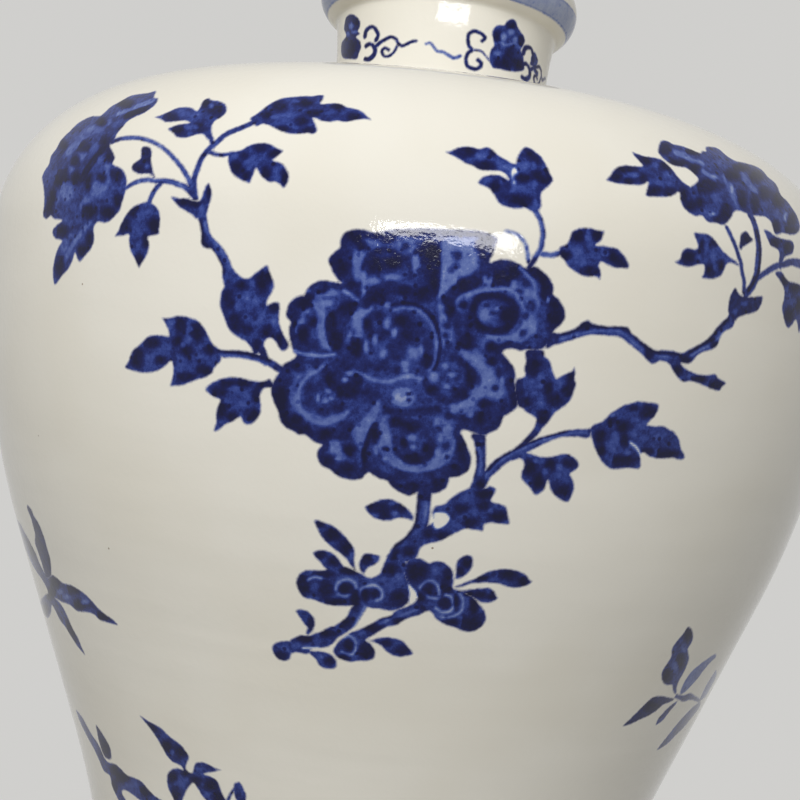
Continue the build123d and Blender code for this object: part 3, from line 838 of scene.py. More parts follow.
UPPER_RIGHT_FLOWER = [
    area(
        MID, (661, 141), (667, 141), (673, 144), (682, 146), (690, 149), (700, 153), (702, 151),
        (706, 151), (706, 147), (713, 147), (719, 149), (727, 156), (736, 161), (745, 163),
        (755, 166), (762, 170), (768, 177), (776, 184), (781, 195), (787, 201), (792, 208),
        (797, 216), (800, 228), (796, 234), (790, 235), (783, 233), (776, 235), (773, 229),
        (771, 222), (765, 217), (757, 216), (750, 215), (743, 212), (735, 211), (731, 218),
        (724, 225), (716, 223), (708, 222), (702, 216), (695, 216), (688, 212), (682, 205),
        (680, 198), (681, 189), (690, 187), (698, 180), (694, 174), (686, 168), (675, 166),
        (666, 161), (660, 155), (658, 150),
    ),
    vein(PALE, 5, (677, 153), (685, 156), (694, 162), (701, 163)),
    vein(PALE, 4, (703, 171), (710, 176), (715, 179)),
    vein(WASH, 5, (726, 178), (730, 188), (735, 199), (740, 208)),
    vein(WASH, 5, (743, 176), (750, 185), (757, 193), (764, 202)),
    *spots(
        SHEEN, (717, 163, 8, 4), (716, 195, 5, 7), (765, 203, 4, 5), (708, 211, 5, 3),
        (776, 213, 3, 5),
    ),
    *spots(BARE, (714, 178, 4), (732, 189, 2, 5), (712, 214, 4, 2), (786, 217, 3, 5)),
    *spots(
        DEEP, (665, 149, 5), (678, 163, 8, 3), (693, 151, 7, 3), (695, 169, 5), (706, 186, 12, 6),
    ),
    *spots(
        DEEP, (732, 175, 7, 5), (742, 199, 4, 9), (755, 202, 4, 8), (691, 205, 5), (700, 203, 4),
    ),
    *spots(
        DEEP, (684, 195, 4, 6), (726, 213, 5, 8), (718, 219, 5, 3), (765, 193, 5, 6),
        (778, 200, 5, 6),
    ),
    *spots(
        DEEP, (792, 220, 4, 6), (790, 230, 6, 3), (776, 226, 4, 5), (740, 168, 8, 3),
        (756, 176, 6, 5),
    ),
]

UPPER_RIGHT_BUDS = [
    stem(
        MID, (4, 4), (727, 228), (731, 236), (735, 245), (738, 254), (741, 263), (742, 272),
        (744, 281), (744, 292),
    ),
    stem(
        MID, (5, 7), (750, 215), (753, 220), (756, 229), (758, 240), (759, 250), (758, 262),
        (757, 273), (755, 280), (751, 288), (746, 294),
    ),
    stem(
        MID, (5, 8), (755, 280), (765, 273), (771, 269), (777, 266), (785, 264), (792, 262),
        (801, 264),
    ),
    stem(MID, (4, 4), (782, 254), (780, 266)),
    area(
        MID, (764, 230), (769, 231), (775, 236), (784, 239), (792, 241), (794, 247), (792, 254),
        (785, 257), (783, 262), (780, 259), (778, 250), (771, 246), (767, 238),
    ),
    area(
        MID, (694, 233), (700, 233), (707, 234), (712, 237), (716, 241), (720, 247), (724, 252),
        (730, 257), (736, 261), (740, 267), (734, 264), (728, 263), (725, 268), (723, 273),
        (719, 277), (712, 279), (702, 278), (704, 273), (704, 265), (697, 265), (690, 267),
        (683, 266), (675, 262), (680, 259), (682, 252), (687, 248), (697, 249), (697, 242),
    ),
    area(
        DARK, (741, 234), (746, 231), (750, 236), (753, 240), (747, 245), (743, 247), (741, 250),
        (739, 247), (740, 240),
    ),
    *spots(
        DEEP, (715, 242, 4), (689, 257, 7, 5), (710, 270, 4, 5), (721, 265, 3, 5),
        (702, 246, 3, 5),
    ),
    *spots(SHEEN, (706, 246, 3, 4), (713, 257, 4, 5), (716, 268, 3, 4), (698, 257, 4, 3)),
    *spots(DEEP, (747, 239, 4), (775, 243, 5, 4), (788, 247, 4, 5)),
    vein(DEEP, 2.5, (757, 232), (760, 245), (760, 260), (757, 276), (748, 291)),
    area(
        DARK, (729, 315), (728, 308), (729, 301), (731, 294), (735, 288), (738, 292), (742, 296),
        (752, 297), (762, 296), (762, 302), (759, 309), (753, 313), (745, 315), (738, 318),
        (735, 321),
    ),
    *spots(SHEEN, (735, 312, 3, 4), (744, 304, 4, 3)),
]

RIGHT_EDGE_LEAF = [
    area(
        MID, (775, 273), (781, 271), (785, 277), (789, 281), (796, 283), (800, 285), (802, 291),
        (803, 298), (803, 305), (801, 311), (801, 318), (801, 326), (799, 333), (798, 329),
        (797, 322), (795, 320), (792, 325), (788, 328), (785, 323), (783, 315), (782, 307),
        (784, 298), (784, 289), (780, 281),
    ),
    *spots(DEEP, (794, 288, 6, 4), (789, 315, 4, 7), (785, 281, 4, 5), (799, 305, 3, 6)),
    *spots(SHEEN, (793, 302, 4, 4)),
]

RIGHT_BRANCH = [
    area(
        MID, (548, 333), (560, 333), (570, 330), (577, 327), (582, 322), (588, 320), (592, 323),
        (600, 325), (609, 326), (618, 326), (628, 327), (631, 332), (637, 337), (643, 342),
        (650, 347), (656, 350), (665, 350), (674, 351), (682, 353), (690, 349), (698, 345),
        (706, 340), (712, 334), (717, 327), (723, 321), (728, 316), (730, 309), (737, 312),
        (735, 321), (732, 328), (724, 332), (720, 339), (717, 346), (711, 350), (703, 352),
        (697, 356), (692, 362), (686, 364), (681, 363), (684, 367), (690, 371), (698, 374),
        (707, 375), (715, 374), (718, 378), (726, 383), (722, 387), (719, 391), (711, 389),
        (704, 386), (697, 383), (690, 381), (683, 382), (678, 378), (673, 371), (669, 364),
        (661, 361), (653, 364), (648, 361), (641, 354), (634, 348), (626, 342), (619, 337),
        (608, 336), (596, 335), (586, 336), (576, 339), (566, 342), (556, 345), (546, 348),
    ),
    vein(
        DEEP, 3, (556, 335), (572, 332), (584, 325), (600, 327), (626, 328), (640, 341), (656, 352),
        (678, 354),
    ),
    vein(DEEP, 3, (690, 352), (706, 342), (717, 330), (728, 319)),
    vein(
        WASH, 3, (560, 339), (576, 335), (596, 331), (620, 332), (634, 343), (648, 354),
        (668, 357),
    ),
    vein(PALE, 2.5, (686, 359), (700, 350), (713, 343), (725, 331)),
    *spots(
        DEEP, (585, 325, 4), (649, 353, 4, 5), (715, 345, 4, 3), (711, 339, 3), (685, 360, 5, 4),
    ),
    *spots(DEEP, (716, 385, 7, 4), (678, 370, 4, 5), (700, 379, 6, 3)),
    *spots(SHEEN, (725, 331, 3), (690, 376, 4, 2)),
]

LOWER_RIGHT_CLUSTER = [
    area(
        MID, (471, 487), (475, 478), (481, 474), (487, 468), (491, 463), (497, 458), (504, 454),
        (511, 450), (517, 447), (524, 443), (532, 440), (540, 437), (549, 435), (558, 432),
        (567, 430), (576, 429), (584, 429), (591, 429), (589, 438), (578, 437), (568, 437),
        (559, 438), (549, 442), (538, 447), (529, 452), (518, 459), (509, 462), (502, 467),
        (497, 472), (491, 477), (488, 483), (484, 489),
    ),
    area(
        MID, (590, 431), (593, 425), (601, 422), (606, 418), (611, 413), (617, 409), (624, 405),
        (631, 403), (638, 401), (646, 402), (658, 404), (658, 410), (655, 416), (651, 420),
        (647, 425), (655, 426), (663, 426), (669, 429), (674, 432), (679, 439), (681, 448),
        (685, 457), (680, 460), (672, 458), (660, 459), (650, 457), (644, 453), (640, 455),
        (641, 462), (639, 469), (630, 468), (620, 469), (611, 469), (605, 465), (600, 459),
        (596, 451), (593, 443),
    ),
    vein(GAP, 3, (629, 442), (636, 447), (641, 455)),
    *spots(
        DEEP, (648, 412, 7, 6), (634, 408, 5, 3), (623, 427, 6, 5), (600, 437, 5, 6),
        (624, 441, 4, 6),
    ),
    *spots(
        DEEP, (622, 461, 13, 5), (648, 451, 5, 3), (665, 454, 12, 4), (612, 419, 4, 5),
        (601, 450, 4, 5),
    ),
    *spots(
        SHEEN, (612, 415, 4, 3), (616, 439, 5, 6), (612, 450, 5, 3), (632, 434, 5, 3),
        (660, 437, 7, 4),
    ),
    *spots(SHEEN, (635, 420, 5, 3), (644, 438, 5, 3), (628, 453, 4, 3)),
    vein(
        WASH, 3, (484, 478), (494, 466), (508, 456), (526, 447), (546, 439), (572, 433),
        (586, 433),
    ),
    vein(DEEP, 2.5, (488, 470), (500, 458), (518, 448), (540, 438), (566, 431)),
]

SMALL_LEAF_LOW = [
    area(
        MID, (471, 434), (474, 443), (475, 452), (476, 462), (475, 470), (473, 479), (470, 490),
        (484, 490), (485, 478), (486, 465), (486, 452), (486, 442), (484, 434),
    ),
    area(
        MID, (513, 452), (519, 458), (523, 461), (524, 466), (522, 471), (521, 477), (524, 482),
        (529, 487), (535, 495), (541, 493), (545, 488), (548, 480), (550, 488), (554, 495),
        (561, 500), (568, 502), (571, 497), (574, 489), (573, 480), (570, 474), (576, 470),
        (579, 464), (575, 458), (568, 454), (561, 454), (554, 456), (547, 457), (538, 456),
        (530, 453), (522, 452),
    ),
    *spots(
        DEEP, (530, 468, 5, 8), (538, 481, 5, 7), (551, 465, 5, 4), (569, 463, 6, 4),
        (561, 491, 7, 5),
    ),
    *spots(SHEEN, (536, 461, 4, 3), (556, 476, 5, 4), (559, 466, 4, 3), (545, 472, 3, 4)),
    *spots(DEEP, (479, 441, 4, 6), (481, 484, 4, 4)),
    vein(WASH, 3, (479, 448), (481, 460), (480, 474)),
]

TRUNK = [
    stem(
        MID, (15, 13), (425, 490), (424, 500), (423, 512), (421, 524), (416, 534), (408, 543),
        (400, 549), (394, 557), (390, 566), (386, 576),
    ),
    area(
        MID, (414, 536), (422, 528), (433, 522), (432, 512), (436, 506), (444, 504), (450, 499),
        (456, 494), (462, 491), (470, 488), (484, 488), (490, 486), (496, 489), (494, 495),
        (491, 501), (500, 504), (506, 507), (508, 515), (509, 524), (500, 524), (490, 523),
        (484, 525), (483, 531), (475, 530), (466, 529), (458, 532), (450, 536), (441, 541),
        (432, 543), (425, 545), (420, 549), (416, 558), (404, 562), (398, 552),
    ),
    area(
        GAP, (434, 513), (433, 519), (433, 525), (436, 529), (441, 528), (447, 524), (450, 518),
        (446, 513), (440, 512),
    ),
    vein(WASH, 3.5, (426, 498), (426, 510), (424, 522)),
    vein(DEEP, 3, (418, 500), (417, 514), (414, 526), (406, 537), (394, 547)),
    *spots(
        DEEP, (484, 494, 7, 5), (498, 516, 8, 4), (461, 509, 6, 4), (471, 523, 6, 4),
        (484, 506, 5, 4),
    ),
    *spots(DEEP, (444, 536, 7, 4), (428, 533, 5, 4), (396, 556, 4, 6), (409, 551, 5, 4)),
    *spots(SHEEN, (473, 511, 5, 4), (455, 523, 5, 4), (491, 511, 3), (467, 498, 5, 3)),
]

LEAF_BY_TRUNK = [
    area(
        MID, (365, 507), (370, 504), (376, 501), (383, 499), (390, 499), (396, 501), (402, 504),
        (408, 509), (413, 515), (413, 521), (407, 519), (401, 518), (395, 519), (389, 521),
        (380, 520), (374, 518), (368, 513),
    ),
    *spots(DEEP, (380, 508, 9, 4), (386, 515, 5, 3), (400, 508, 5, 4), (373, 506, 4, 3)),
    *spots(SHEEN, (395, 514, 5, 3), (376, 516, 4, 2), (391, 504, 4, 2)),
]

LEAVES_OVER_HEAD = [
    area(
        MID, (314, 521), (318, 520), (323, 522), (329, 524), (335, 527), (340, 531), (345, 536),
        (349, 541), (353, 546), (355, 552), (354, 561), (356, 571), (351, 566), (346, 559),
        (341, 554), (335, 550), (329, 545), (324, 540), (320, 534), (317, 528),
    ),
    *spots(DEEP, (333, 535, 7, 5), (346, 547, 5, 6), (320, 524, 4, 3)),
    *spots(SHEEN, (331, 543, 4, 2), (351, 556, 2, 5)),
    area(
        MID, (313, 553), (316, 551), (321, 550), (328, 551), (334, 554), (339, 559), (342, 564),
        (345, 570), (332, 572), (325, 568), (320, 562), (315, 557),
    ),
    *spots(DEEP, (321, 555, 5, 3), (333, 561, 5, 4)),
    area(
        MID, (359, 566), (360, 560), (363, 555), (367, 553), (373, 554), (380, 556), (379, 561),
        (374, 565), (368, 568), (363, 574),
    ),
    *spots(DEEP, (367, 560, 5, 4)),
    *spots(SHEEN, (374, 557, 3, 2)),
]

LEFT_LINGZHI = [
    area(
        MID, (296, 582), (298, 576), (302, 572), (308, 570), (315, 570), (324, 570), (333, 567),
        (342, 566), (350, 568), (356, 571), (362, 574), (367, 577), (374, 577), (380, 573),
        (385, 565), (392, 560), (400, 560), (404, 568), (406, 577), (409, 586), (410, 595),
        (408, 603), (400, 609), (390, 611), (380, 609), (370, 608), (362, 606), (354, 606),
        (350, 613), (348, 622), (342, 627), (333, 626), (325, 629), (320, 634), (312, 636),
        (302, 635), (296, 637), (290, 641), (290, 653), (300, 651), (312, 649), (321, 648),
        (330, 646), (336, 640), (344, 632), (352, 627), (357, 617), (366, 608), (360, 606),
        (352, 606), (344, 606), (334, 606), (324, 604), (314, 600), (305, 598), (299, 592),
    ),
    area(
        MID, (290, 641), (284, 641), (278, 642), (274, 644), (272, 648), (274, 654), (278, 659),
        (284, 661), (290, 659), (292, 653), (300, 653), (308, 654), (310, 648), (300, 644),
    ),
    stem(
        MID, (14, 11), (363, 602), (357, 611), (352, 620), (344, 627), (334, 633), (322, 637),
        (308, 642),
    ),
    stem(MID, (7, 4), (400, 556), (404, 566), (407, 576), (409, 584)),
    *spots(DARK, (349, 622, 5, 4), (330, 634, 6, 3)),
    vein(BARE, 4.5, (336, 589), (338, 584), (343, 581), (349, 580), (354, 583), (356, 587)),
    vein(BARE, 3, (339, 594), (345, 596), (350, 594)),
    *spots(DEEP, (346, 588, 6, 5)),
    vein(
        BARE, 4, (359, 596), (361, 590), (366, 587), (373, 585), (379, 588), (382, 593), (381, 598),
        (377, 600),
    ),
    *spots(
        DEEP, (366, 595, 4, 5), (375, 594, 4), (302, 585, 6, 9), (335, 602, 9, 3),
        (355, 600, 4, 9),
    ),
    *spots(
        DEEP, (323, 574, 9, 3), (400, 598, 8, 7), (325, 590, 6, 8), (392, 570, 6, 5),
        (350, 571, 10, 3),
    ),
    vein(BARE, 3, (308, 580), (314, 577), (321, 578)),
    *spots(SHEEN, (315, 587, 5, 4), (390, 587, 5, 6), (398, 577, 3, 5), (384, 580, 4, 3)),
    *spots(DEEP, (280, 656, 6, 4), (305, 639, 7, 3), (345, 622, 4, 5), (326, 633, 5, 3)),
    *spots(SHEEN, (297, 646, 4, 3), (285, 648, 5, 3), (318, 641, 5, 3)),
    vein(BARE, 2.5, (365, 607), (358, 620), (353, 629)),
    vein(GAP, 2, (303, 648), (318, 648)),
]

LINGZHI_BAND = [
    area(
        MID, (420, 597), (414, 603), (405, 607), (396, 610), (391, 615), (381, 618), (372, 623),
        (362, 628), (352, 632), (345, 636), (338, 642), (333, 650), (336, 656), (342, 660),
        (351, 662), (359, 661), (367, 661), (374, 658), (375, 651), (371, 644), (366, 640),
        (372, 636), (380, 631), (388, 627), (397, 625), (403, 621), (409, 618), (417, 616),
        (425, 612), (431, 609),
    ),
    vein(
        BARE, 3, (344, 637), (349, 636), (354, 640), (356, 647), (354, 653), (348, 655),
        (342, 652),
    ),
    vein(WASH, 3, (360, 634), (370, 629), (384, 622), (400, 616), (416, 610)),
    *spots(
        DEEP, (349, 645, 4, 5), (367, 651, 7, 6), (340, 633, 4), (343, 658, 6, 3),
        (372, 628, 9, 4),
    ),
    *spots(DEEP, (399, 621, 7, 3), (426, 606, 6, 5), (386, 616, 6, 2)),
    area(
        MID, (364, 639), (371, 640), (378, 638), (386, 637), (394, 638), (401, 640), (406, 644),
        (410, 649), (413, 654), (406, 656), (399, 657), (392, 655), (386, 651), (381, 646),
        (375, 643),
    ),
    *spots(DEEP, (386, 643, 6, 3), (402, 650, 7, 4)),
]

RIGHT_LINGZHI = [
    area(
        MID, (409, 559), (415, 558), (422, 559), (429, 563), (436, 561), (443, 562), (449, 566),
        (453, 572), (454, 580), (453, 588), (458, 590), (466, 593), (474, 598), (480, 605),
        (485, 612), (486, 619), (483, 625), (477, 630), (470, 632), (462, 631), (456, 628),
        (449, 626), (442, 623), (436, 619), (432, 613), (426, 609), (420, 602), (414, 592),
        (409, 584), (406, 575), (405, 566),
    ),
    vein(BARE, 3.5, (420, 588), (424, 583), (430, 581), (435, 583), (439, 588), (439, 594)),
    vein(BARE, 3, (421, 593), (426, 596), (432, 598), (438, 599)),
    *spots(
        DEEP, (429, 589, 5), (445, 603, 5), (416, 572, 9, 8), (448, 575, 4, 6), (446, 588, 4, 7),
    ),
    vein(
        BARE, 3.5, (446, 595), (451, 597), (454, 603), (453, 608), (448, 612), (441, 612),
        (436, 608),
    ),
    vein(
        BARE, 3, (457, 591), (462, 597), (463, 603), (462, 610), (456, 615), (447, 618),
        (439, 616),
    ),
    *spots(
        DEEP, (474, 606, 4, 7), (451, 622, 6, 3), (471, 623, 10, 7), (456, 602, 2, 6),
        (421, 597, 4, 4),
    ),
    *spots(SHEEN, (435, 571, 4, 5), (437, 615, 4, 3), (467, 603, 3, 5)),
    area(GAP, (408, 585), (413, 588), (417, 593), (417, 598), (413, 602), (409, 603), (410, 596)),
    area(
        MID, (455, 579), (456, 571), (456, 564), (459, 559), (463, 556), (468, 555), (472, 557),
        (473, 564), (470, 571), (466, 575), (461, 578),
    ),
    *spots(DEEP, (467, 562, 4, 5), (460, 571, 3, 4)),
    area(
        MID, (454, 587), (461, 584), (468, 581), (474, 579), (481, 575), (487, 572), (494, 570),
        (501, 569), (508, 569), (515, 570), (521, 572), (526, 575), (529, 579), (532, 582),
        (525, 586), (516, 588), (508, 587), (500, 584), (490, 583), (480, 583), (470, 584),
        (462, 587),
    ),
    *spots(DEEP, (508, 575, 8, 4), (524, 581, 5, 3), (482, 578, 6, 2)),
    *spots(SHEEN, (494, 579, 6, 2)),
    area(
        MID, (456, 591), (464, 590), (473, 589), (482, 588), (490, 588), (494, 591), (496, 595),
        (498, 598), (493, 602), (486, 603), (480, 602), (472, 597), (463, 593),
    ),
    *spots(DEEP, (492, 597, 4, 3), (481, 595, 5, 3), (469, 594, 4, 2)),
]

SMALL_LINGZHI_LEAVES = [
    area(
        MID, (296, 611), (300, 609), (305, 610), (310, 613), (314, 618), (315, 624), (313, 630),
        (309, 635), (306, 633), (307, 628), (304, 624), (300, 618),
    ),
    *spots(DEEP, (311, 624, 3, 6)),
    area(
        MID, (304, 650), (312, 651), (320, 651), (328, 653), (334, 657), (337, 663), (335, 668),
        (327, 669), (320, 666), (316, 660), (311, 655),
    ),
    *spots(DEEP, (330, 661, 5, 4)),
    *spots(SHEEN, (320, 657, 4, 2)),
]

LEFT_SPRIG = [
    area(
        DARK, (27, 505), (31, 509), (34, 516), (38, 522), (41, 529), (44, 537), (46, 544),
        (48, 551), (50, 558), (51, 566), (51, 576), (46, 578), (44, 571), (41, 561), (38, 552),
        (35, 543), (35, 534), (33, 526), (31, 518), (28, 511),
    ),
    area(
        MID, (10, 511), (15, 517), (20, 523), (24, 531), (28, 538), (32, 546), (36, 554),
        (39, 562), (43, 570), (47, 578), (52, 575), (57, 578), (63, 583), (71, 585), (78, 589),
        (85, 594), (92, 601), (98, 608), (105, 614), (112, 619), (118, 625), (109, 623),
        (100, 620), (93, 614), (84, 612), (77, 611), (70, 605), (62, 602), (55, 598), (60, 603),
        (65, 611), (69, 620), (73, 629), (78, 638), (82, 648), (85, 655), (78, 647), (72, 638),
        (66, 628), (60, 620), (56, 612), (52, 605), (51, 612), (48, 618), (44, 614), (40, 606),
        (41, 600), (45, 595), (48, 592), (43, 581), (36, 571), (30, 560), (26, 551), (19, 540),
        (14, 529),
    ),
    vein(WASH, 2.5, (32, 566), (37, 577), (44, 588)),
    *spots(
        DEEP, (54, 583, 5, 7), (72, 589, 8, 4), (79, 605, 8, 4), (104, 616, 9, 4), (49, 594, 4, 5),
    ),
    *spots(DEEP, (45, 610, 3, 5), (70, 630, 5, 10, -25), (30, 548, 4, 8, -25)),
    *spots(WASH, (66, 597, 5, 3), (85, 602, 5, 3), (60, 592, 3)),
]

LOW_SPRIG_ONE = [
    area(
        MID, (76, 710), (82, 717), (87, 726), (92, 735), (97, 742), (101, 750), (104, 757),
        (108, 762), (115, 764), (120, 768), (127, 775), (135, 778), (142, 782), (148, 789),
        (155, 796), (163, 801), (171, 809), (160, 808), (150, 806), (141, 801), (133, 795),
        (125, 790), (122, 793), (128, 803), (135, 813), (140, 824), (131, 817), (123, 808),
        (117, 797), (112, 786), (110, 776), (104, 771), (99, 760), (94, 749), (88, 738), (81, 724),
    ),
    area(
        DARK, (96, 725), (100, 730), (105, 738), (109, 745), (111, 752), (111, 759), (106, 758),
        (102, 751), (99, 741), (97, 732),
    ),
    *spots(
        DEEP, (121, 777, 7, 5), (146, 791, 8, 5), (105, 748, 4, 8), (114, 770, 4, 5),
        (114, 786, 3, 6),
    ),
    *spots(SHEEN, (133, 785, 5, 3), (94, 744, 2, 6, -25)),
]

LOW_SPRIG_TWO = [
    area(
        MID, (140, 716), (147, 720), (154, 724), (161, 728), (167, 734), (173, 739), (180, 744),
        (185, 750), (189, 757), (187, 763), (186, 769), (192, 773), (195, 764), (201, 762),
        (208, 764), (215, 768), (221, 770), (213, 772), (204, 774), (212, 777), (218, 782),
        (221, 790), (224, 797), (229, 806), (219, 806), (210, 803), (203, 797), (198, 789),
        (193, 783), (187, 790), (183, 799), (178, 808), (173, 798), (168, 787), (167, 776),
        (171, 770), (177, 768), (183, 770), (181, 766), (173, 762), (167, 756), (162, 747),
        (156, 737), (149, 727),
    ),
    *spots(
        DEEP, (180, 752, 6, 5), (166, 746, 5), (172, 777, 4, 5), (175, 794, 4, 7),
        (211, 785, 6, 5),
    ),
    *spots(DEEP, (196, 781, 5, 4), (186, 772, 4, 3), (152, 728, 6, 3, 40), (218, 798, 5, 5)),
    *spots(SHEEN, (184, 784, 3, 5), (205, 794, 4, 3), (200, 769, 5, 2), (172, 752, 3)),
    stem(MID, (4, 3), (226, 806), (230, 796), (235, 788), (239, 783)),
    area(MID, (234, 784), (239, 782), (243, 787), (246, 795), (245, 804), (238, 802), (234, 794)),
]

RIGHT_SPRIG = [
    area(
        MID, (688, 627), (692, 630), (693, 636), (692, 642), (688, 649), (689, 658), (687, 665),
        (684, 672), (680, 679), (677, 686), (676, 694), (673, 691), (672, 685), (666, 685),
        (662, 680), (662, 672), (666, 665), (671, 657), (672, 649), (677, 641), (683, 634),
    ),
    stem(MID, (4, 4), (676, 696), (683, 698), (691, 697), (700, 701)),
    area(
        WASH, (680, 694), (682, 687), (686, 679), (692, 671), (699, 665), (707, 659), (715, 654),
        (716, 657), (710, 663), (704, 670), (698, 678), (691, 686), (685, 692),
    ),
    area(
        WASH, (700, 700), (703, 692), (707, 684), (712, 676), (716, 670), (716, 677), (711, 687),
        (705, 697),
    ),
    area(
        MID, (700, 702), (692, 708), (685, 715), (677, 724), (669, 734), (662, 743), (657, 750),
        (667, 744), (676, 735), (685, 726), (693, 716), (699, 708),
    ),
    area(
        DARK, (674, 699), (667, 697), (660, 696), (654, 697), (649, 700), (644, 705), (637, 712),
        (630, 719), (623, 726), (631, 724), (639, 720), (648, 716), (656, 711), (663, 705),
        (670, 702),
    ),
    area(
        MID, (677, 701), (670, 706), (663, 713), (658, 719), (656, 725), (663, 720), (670, 711),
        (676, 704),
    ),
    *spots(DEEP, (688, 634, 4, 6), (667, 676, 4, 7), (650, 706, 7, 4), (680, 660, 4, 8)),
    *spots(WASH, (675, 667, 4, 6), (684, 648, 3, 4)),
]

NECK_LEFT = [
    area(
        DARK, (345, 21), (347, 16), (352, 14), (357, 17), (360, 21), (360, 27), (358, 31),
        (360, 34), (356, 37), (360, 41), (361, 47), (359, 53), (357, 59), (350, 59), (343, 58),
        (341, 50), (342, 42), (346, 36), (344, 29),
    ),
    *spots(WASH, (351, 26, 3, 4), (354, 32, 4, 2), (348, 34, 2, 3)),
    *spots(DEEP, (351, 48, 6, 8), (356, 21, 3, 3)),
]

NECK_SCROLLS = [
    stem(DARK, (4, 4), (365, 36), (366, 31), (369, 28), (373, 27), (376, 30), (378, 35), (376, 40)),
    stem(DARK, (4, 5), (366, 46), (370, 44), (374, 47), (375, 52), (373, 56), (369, 59), (365, 59)),
    stem(
        DARK, (4, 3.5), (376, 46), (381, 42), (386, 39), (391, 37), (396, 39), (398, 43), (402, 46),
        (407, 44), (411, 42), (416, 41),
    ),
    stem(
        DARK, (3, 3.5), (397, 46), (394, 52), (389, 56), (384, 56), (382, 51), (385, 48),
        (389, 50),
    ),
    stem(
        WASH, (3, 4), (426, 44), (430, 43), (434, 47), (437, 51), (443, 52), (448, 55), (454, 58),
        (460, 56),
    ),
    stem(
        DARK, (4, 4.5), (482, 41), (485, 38), (482, 34), (478, 32), (474, 31), (469, 34), (468, 40),
        (469, 46), (472, 50), (468, 53), (466, 59), (467, 65), (471, 68), (476, 69), (480, 67),
        (481, 63), (478, 60),
    ),
    stem(MID, (3, 2), (474, 50), (481, 51), (485, 55), (489, 60)),
]

NECK_RUYI = [
    area(
        MID, (493, 39), (492, 33), (494, 28), (498, 25), (504, 25), (507, 21), (512, 19),
        (516, 21), (518, 27), (521, 32), (524, 36), (525, 41), (523, 46), (521, 50), (523, 55),
        (524, 62), (524, 70), (516, 72), (507, 71), (499, 69), (493, 68), (490, 63), (489, 57),
        (491, 50), (494, 45),
    ),
    vein(PALE, 2.5, (493, 44), (500, 42), (505, 45), (511, 44), (516, 43), (520, 47)),
    *spots(DEEP, (498, 36, 4, 5), (521, 41, 3, 4), (507, 63, 9, 5), (511, 26, 4, 4)),
    *spots(PALE, (504, 37, 4, 5), (511, 32, 4, 4), (515, 40, 3, 4)),
    *spots(DEEP, (510, 54, 4, 6), (499, 63, 4, 4), (519, 65, 4, 5)),
    *spots(WASH, (497, 53, 4, 3)),
]

NECK_SPRIG = [
    area(MID, (534, 52), (531, 57), (531, 64), (534, 68), (537, 65), (538, 60), (536, 54)),
    stem(MID, (3, 3), (534, 66), (535, 70), (537, 74)),
]

SPRAY = [
    UPPER_LEFT_STEMS, RIGHT_BRANCH, TRUNK, UPPER_LEFT_FLOWER, HANGING_LEAF, UPPER_CLUSTER,
    UPPER_RIGHT_LEAF, SMALL_RIGHT_CLUSTER, PEONY_LEAF_LEFT, LEFT_LEAF, LOWER_LEFT_LEAF,
    UPPER_CENTRE_LEAVES, SMALL_LEAF_RIGHT, UPPER_RIGHT_LEAVES, UPPER_RIGHT_BUDS,
    UPPER_RIGHT_FLOWER, RIGHT_EDGE_LEAF, RIGHT_LEAF, LOWER_RIGHT_CLUSTER, SMALL_LEAF_LOW,
    LEAF_BY_TRUNK, LINGZHI_BAND, LEAVES_OVER_HEAD, LEFT_LINGZHI, RIGHT_LINGZHI,
    SMALL_LINGZHI_LEAVES, PEONY,
]
SPRIGS = [LEFT_SPRIG, LOW_SPRIG_ONE, LOW_SPRIG_TWO, RIGHT_SPRIG]
NECK = [NECK_LEFT, NECK_SCROLLS, NECK_RUYI, NECK_SPRIG]


# Laying out: a motif's strokes as they lie on the glaze, flattened about the motif's middle

CURVE_STEPS = 4


def smooth_way(points, closed=False):
    """A curve through the points, by the Catmull-Rom rule."""
    points = np.array(points, float)
    if closed:
        padded = np.vstack([points[-1:], points, points[:2]])
    else:
        padded = np.vstack([points[:1], points, points[-1:]])
    a, b, c, d = padded[:-3], padded[1:-2], padded[2:-1], padded[3:]
    share = (np.arange(CURVE_STEPS) / CURVE_STEPS)[:, None, None]
    curve = b + share * (c - a) / 2
    curve = curve + share**2 * (2 * a - 5 * b + 4 * c - d) / 2
    curve = curve + share**3 * (3 * b - a - 3 * c + d) / 2
    curve = curve.transpose(1, 0, 2).reshape(-1, 2)
    return curve if closed else np.vstack([curve, points[-1:]])


def stroke_pixels(stroke):
    """The pixels that fix a stroke: an outline, a band's middle and sides, or an ellipse's axes."""
    if stroke["kind"] == "area":
        return smooth_way(stroke["way"], closed=True)
    if stroke["kind"] == "spot":
        x, y, width, *rest = stroke["ellipse"]
        height = rest[0] if rest else width
        turn = math.radians(rest[1]) if len(rest) > 1 else 0
        across = (width * math.cos(turn), width * math.sin(turn))
        down = (-height * math.sin(turn), height * math.cos(turn))
        return np.array([(x, y), (x + across[0], y + across[1]), (x + down[0], y + down[1])])
    middle = smooth_way(stroke["way"])
    ahead = np.gradient(middle, axis=0)
    ahead /= np.linalg.norm(ahead, axis=1, keepdims=True)
    side = ahead[:, ::-1] * (1, -1) * np.linspace(*stroke["widths"], len(middle))[:, None] / 2
    return np.vstack([middle, middle + side, middle - side])


class Sheet:
    """A motif laid out flat, in millimetres about its middle."""

    def __init__(self, motif):
        self.strokes = []
        pixels = [stroke_pixels(stroke) for stroke in motif]
        angle, way = on_glaze(np.vstack(pixels))
        self.angle = (angle.min() + angle.max()) / 2
        self.way = (way.min() + way.max()) / 2
        x = (angle - self.angle) * np.interp(way, ROW_WAYS, ROW_RADII) / MM
        flat = np.column_stack([x, (way - self.way) / MM])
        for stroke, places in zip(motif, np.split(flat, np.cumsum([len(p) for p in pixels])[:-1])):
            self.strokes.append((stroke["kind"], stroke["tone"], places))


